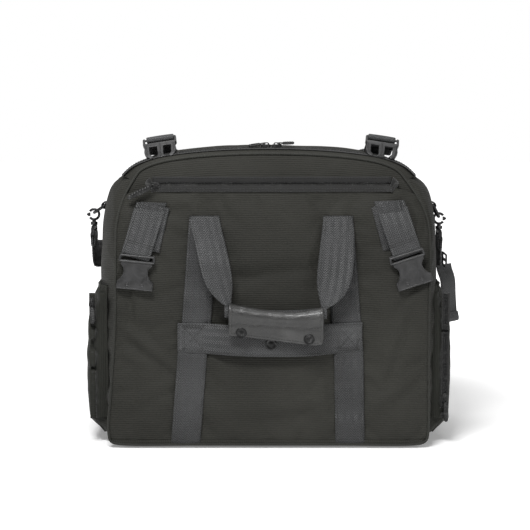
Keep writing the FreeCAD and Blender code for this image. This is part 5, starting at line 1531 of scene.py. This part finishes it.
# ------------------------------------------------------------------ buckles: finished copies on the same pins
def copy_of(node, name, body, mat, M, bevel=0.8, seg=3):
    """The CAD part's own shape, seated as it hangs, with rounded moulded edges."""
    src = NODES[node]
    me = src.data.copy()
    me.name = name
    me.transform(M)
    me.materials.clear()
    me.materials.append(mat)
    o = bpy.data.objects.new(name, me)
    bpy.context.scene.collection.objects.link(o)
    w = o.modifiers.new("weld", "WELD")
    w.merge_threshold = 0.00002
    b = o.modifiers.new("edge", "BEVEL")
    b.width = bevel * K
    b.segments = seg
    b.limit_method = "ANGLE"
    b.angle_limit = math.radians(28)
    apply_mods(o)
    for p in o.data.polygons:
        p.use_smooth = True
    o.data.set_sharp_from_angle(angle=math.radians(38))
    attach(o, body)
    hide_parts(node)
    return o


def about(c, R, shift=(0, 0, 0)):
    c = Vector(c) * K
    return Matrix.Translation(Vector(shift) * K) @ Matrix.Translation(c) @ R.to_4x4() @ Matrix.Translation(-c)


BAR = {"left": local(STR["left"][0], 17.0, (0, -8.2, -61.6)), "right": local(STR["right"][0], -19.5, (0, -8.2, -61.6))}
FSPIN = {"left": -11.5, "right": 1.8}
fem = {}
for nm in ("left", "right"):
    nrm_v = turn(0) @ Vector((0, 1, 0))
    R = Matrix.Rotation(math.radians(FSPIN[nm]), 3, nrm_v)
    fem[nm] = copy_of("buckle_female_" + nm, "buckle_socket_" + nm, "socket_" + nm, M_PLASTIC, about(BAR[nm], R), 0.9, 3)
    c, ang = STR[nm]
    base = R.to_4x4()

    def fpt(x, y, z):
        """Point in the socket's own frame: z down from the bar, y out of the panel."""
        q = turn(ang) @ Vector((x, y, z))
        return np.array(Vector(BAR[nm]) + R @ q)

    outw = np.array(R @ (turn(ang) @ Vector((0, -1, 0))))
    # moulded frame round the webbing slot, ribs, dimples and the release window edge
    fr = [fpt(x, -5.6, z) for x, z in ((-21.5, -1.2), (21.5, -1.2), (21.8, -8.6), (-21.8, -8.6))]
    loop = []
    for a, b in zip(fr, fr[1:] + fr[:1]):
        loop += [a * (1 - f) + b * f for f in (0.06, 0.3, 0.6, 0.94)]
    tube("socket_frame_" + nm, curve(loop, 90, closed=True)[:-1], 1.35, M_PLASTIC, body="socket_" + nm, segs=10, closed=True)
    for x in (-9.5, 9.5):
        prof = [(2.4, -0.2), (2.5, 0.45), (2.0, 0.75), (1.3, 0.35), (0.6, 0.05), (0.02, 0.0)]
        P = np.zeros((len(prof), 24, 3))
        cc = fpt(x, -5.5, -38.0)
        ax = np.array(R @ (turn(ang) @ Vector((1, 0, 0))))
        az = np.array(R @ (turn(ang) @ Vector((0, 0, 1))))
        for i, (rr, h) in enumerate(prof):
            for k in range(24):
                an = 2 * math.pi * k / 24
                P[i, k] = cc + outw * h + (ax * math.cos(an) + az * math.sin(an)) * rr
        f = grid_faces(len(prof), 24, False, True)
        f.append(tuple(range(24)))
        f.append(tuple((len(prof) - 1) * 24 + k for k in reversed(range(24))))
        recalc(make("socket_dimple_%s_%s" % (nm, "a" if x < 0 else "b"), P.reshape(-1, 3), f, M_PLASTIC, None, "socket_" + nm))
    rail = [fpt(x, -5.5, z) for x, z in ((-19.5, -12.0), (-15.2, -17.5), (-15.0, -24.0), (-18.0, -30.5), (-21.5, -34.5), (-21.6, -42.0), (0, -42.4), (21.6, -42.0), (21.5, -34.5), (18.0, -30.5), (15.0, -24.0), (15.2, -17.5), (19.5, -12.0))]
    tube("socket_rail_" + nm, curve(rail, 110), 0.75, M_PLASTIC, body="socket_" + nm, segs=8)

MSH = {-1: (4.5, 0.0, -7.0), 1: (1.0, 0.0, -7.0)}
for s, nm in ((-1, "left"), (1, "right")):
    copy_of("buckle_male_" + nm, "buckle_plug_" + nm, "plug_" + nm, M_PLASTIC, Matrix.Translation(Vector(MSH[s]) * K), 0.7, 3)
    # raised rib on each prong and the post
    tl = Matrix.Rotation(math.radians(s * TA), 3, "Y") @ Matrix.Rotation(math.radians(-42), 3, "X")
    org = Vector((s * 147.486, -42, 401.063)) + Vector(MSH[s])
    for x0, x1, z0, z1 in ((-18.3, -17.4, -12, -27), (18.3, 17.4, -12, -27), (0, 0, -9, -31)):
        pth = [np.array(org + tl @ Vector((x0 + (x1 - x0) * f, -3.5, z0 + (z1 - z0) * f))) for f in np.linspace(0, 1, 12)]
        tube("plug_rib_%s_%s" % (nm, "abc"[(x0 > 0) + 2 * (x0 == 0)]), pth, 0.9, M_PLASTIC, body="plug_" + nm, segs=8)


# ------------------------------------------------------------------ zip pulls: wire loop, ribbed moulded grip
def puller(name, node, body, a, b, out, width=6.0, thick=3.0, ribs=7):
    a, b, out = (np.asarray(q, float) for q in (a, b, out))
    L = np.linalg.norm(b - a)
    d = (b - a) / L
    out = out - d * out.dot(d)
    out /= np.linalg.norm(out)
    sd = np.cross(d, out)
    loop = []
    for an in np.linspace(0, 2 * math.pi, 28, endpoint=False):
        loop.append(a + d * (3.4 - 3.6 * math.cos(an)) + sd * 2.1 * math.sin(an))
    tube(name + "_wire", loop, 0.65, M_ZIP, body=body, segs=8, closed=True)
    n = 44
    seg = 20
    P = np.zeros((n, seg, 3))
    for i in range(n):
        f = i / (n - 1)
        c = a + d * (6.0 + (L - 6.0) * f)
        w = width / 2 * (0.72 + 0.28 * math.sin(math.pi * min(1, f * 1.1)) ** 0.7)
        w *= min(1.0, (f / 0.05) ** 0.5 if f < 0.05 else 1.0) * min(1.0, ((1 - f) / 0.07) ** 0.5 if f > 0.93 else 1.0) + 0.02
        t = thick / 2 * (0.85 + 0.15 * math.cos(2 * math.pi * ribs * f)) * (min(1, ((1 - f) / 0.07) ** 0.5) if f > 0.93 else 1.0)
        t = t * (min(1.0, (f / 0.05) ** 0.5) if f < 0.05 else 1.0) + 0.05
        for k in range(seg):
            an = 2 * math.pi * k / seg
            ce, se = math.cos(an), math.sin(an)
            P[i, k] = c + sd * w * math.copysign(abs(ce) ** 0.7, ce) + out * t * math.copysign(abs(se) ** 0.7, se)
    f = grid_faces(n, seg, False, True)
    f.append(tuple(range(seg)))
    f.append(tuple((n - 1) * seg + k for k in reversed(range(seg))))
    o = recalc(make(name, P.reshape(-1, 3), f, M_ZIP, None, body))
    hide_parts(node)
    return o


puller("main_pull_grip_left", "main_pull_left", "tag_main_left", (-5.0, -58.2, 388.9), (-27.0, -58.6, 385.6), (0, -0.4, 1), 6.5, 3.2)
puller("main_pull_grip_right", "main_pull_right", "tag_main_right", (11.5, -58.2, 388.9), (33.0, -58.8, 389.6), (0, -0.4, 1), 6.5, 3.2)
puller("pocket_pull_grip", "pocket_pull", "tag_pocket", (-144.5, -109.2, 337.6), (-180.0, -108.4, 320.5), (0, -1, 0), 7.0, 4.2, 9)
puller("left_pull_grip", "left_pull", "tag_left", (-228.2, -101.2, 187.0), (-226.0, -100.8, 158.5), (0, -1, 0), 7.0, 4.0, 8)
puller("right_pull_grip", "right_pull", "tag_right", (228.0, -101.2, 63.0), (229.2, -100.8, 30.5), (0, -1, 0), 6.8, 4.0, 8)


# ------------------------------------------------------------------ setting, camera, light
def area(name, loc, target, size, size_y, energy, color=(1, 1, 1)):
    l = bpy.data.lights.new(name, "AREA")
    l.shape = "RECTANGLE"
    l.size, l.size_y = size, size_y
    l.energy = energy
    l.color = color
    o = bpy.data.objects.new(name, l)
    bpy.context.scene.collection.objects.link(o)
    o.location = loc
    o.rotation_euler = (Vector(target) - Vector(loc)).to_track_quat("-Z", "Y").to_euler()
    return o


me = bpy.data.meshes.new("studio_floor")
me.from_pydata([(-9, -9, 0), (9, -9, 0), (9, 9, 0), (-9, 9, 0)], [], [(0, 1, 2, 3)])
fm = Mat("floor_paper", rough=0.9, spec=0.1)
_v, _u, _w, _z, _o = fm.coords(False)
fm.b.inputs["Emission Color"].default_value = (1, 1, 1, 1)
_len = fm.t.nodes.new("ShaderNodeVectorMath")
_len.operation = "LENGTH"
fm.t.links.new(_o, _len.inputs[0])
_far = fm.remap(_len.outputs["Value"], 0.42, 1.1, 0.0, 1.0)
_lp = fm.t.nodes.new("ShaderNodeLightPath")
_em = fm.math("MULTIPLY_ADD", fm.math("MULTIPLY", _far, _lp.outputs["Is Camera Ray"]), 0.9, 0.2)
fm.t.links.new(_em, fm.b.inputs["Emission Strength"])
me.materials.append(fm.done(fm.mix(fm.noise(_o, 3.0, 2.0), (0.90, 0.90, 0.90), (0.93, 0.93, 0.93))))
floor = bpy.data.objects.new("studio_floor", me)
bpy.context.scene.collection.objects.link(floor)

world = bpy.data.worlds.new("studio")
bpy.context.scene.world = world
world.use_nodes = True
world.node_tree.nodes["Background"].inputs[0].default_value = (1.0, 1.0, 1.0, 1)
wt = world.node_tree
lp = wt.nodes.new("ShaderNodeLightPath")
mr = wt.nodes.new("ShaderNodeMapRange")
mr.inputs[3].default_value = 0.17
mr.inputs[4].default_value = 1.0
wt.links.new(lp.outputs["Is Camera Ray"], mr.inputs[0])
wt.links.new(mr.outputs[0], wt.nodes["Background"].inputs[1])
bpy.context.scene.view_settings.view_transform = "Standard"

area("key_soft", (-0.35, -1.35, 1.75), (0, -0.05, 0.25), 0.75, 0.5, 44)
area("fill_soft", (1.5, -1.7, 0.9), (0, 0, 0.2), 0.5, 0.9, 9)
area("rim_left", (-1.9, 0.5, 1.0), (0, 0, 0.25), 0.8, 1.2, 4)
area("top_soft", (0.0, 0.4, 2.2), (0, 0, 0.3), 1.8, 1.0, 17)

AIM = Vector((-0.005, -0.117, 0.2365))
EL = math.radians(6.0)
cam = bpy.data.cameras.new("photo_camera")
cam.lens = 106.98
cam.sensor_width = 36.0
cam.clip_start, cam.clip_end = 0.05, 60.0
cam_o = bpy.data.objects.new("photo_camera", cam)
bpy.context.scene.collection.objects.link(cam_o)
cam_o.location = AIM - Vector((0, math.cos(EL), -math.sin(EL))) * 2.0
cam_o.rotation_euler = (AIM - cam_o.location).to_track_quat("-Z", "Y").to_euler()
bpy.context.scene.camera = cam_o

for o in list(bpy.data.objects):
    if o.type == "MESH" and "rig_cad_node" in o and not o.hide_render:
        print("shown CAD node", o.name)
for _n, _b in (("front", "front_handle"), ("rear", "rear_handle")):
    for _o in list(bpy.data.objects):
        if _o.name.startswith("handle_webbing_" + _n) or _o.name == "handle_thread_" + _n:
            _mw = _o.matrix_world.copy()
            _o.parent = None
            _o.matrix_world = _mw
            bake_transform(_o)
for _n in ("left", "right"):
    _o = bpy.data.objects["front_strap_web_" + _n]
    _mw = _o.matrix_world.copy()
    _o.parent = None
    _o.matrix_world = _mw
    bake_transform(_o)
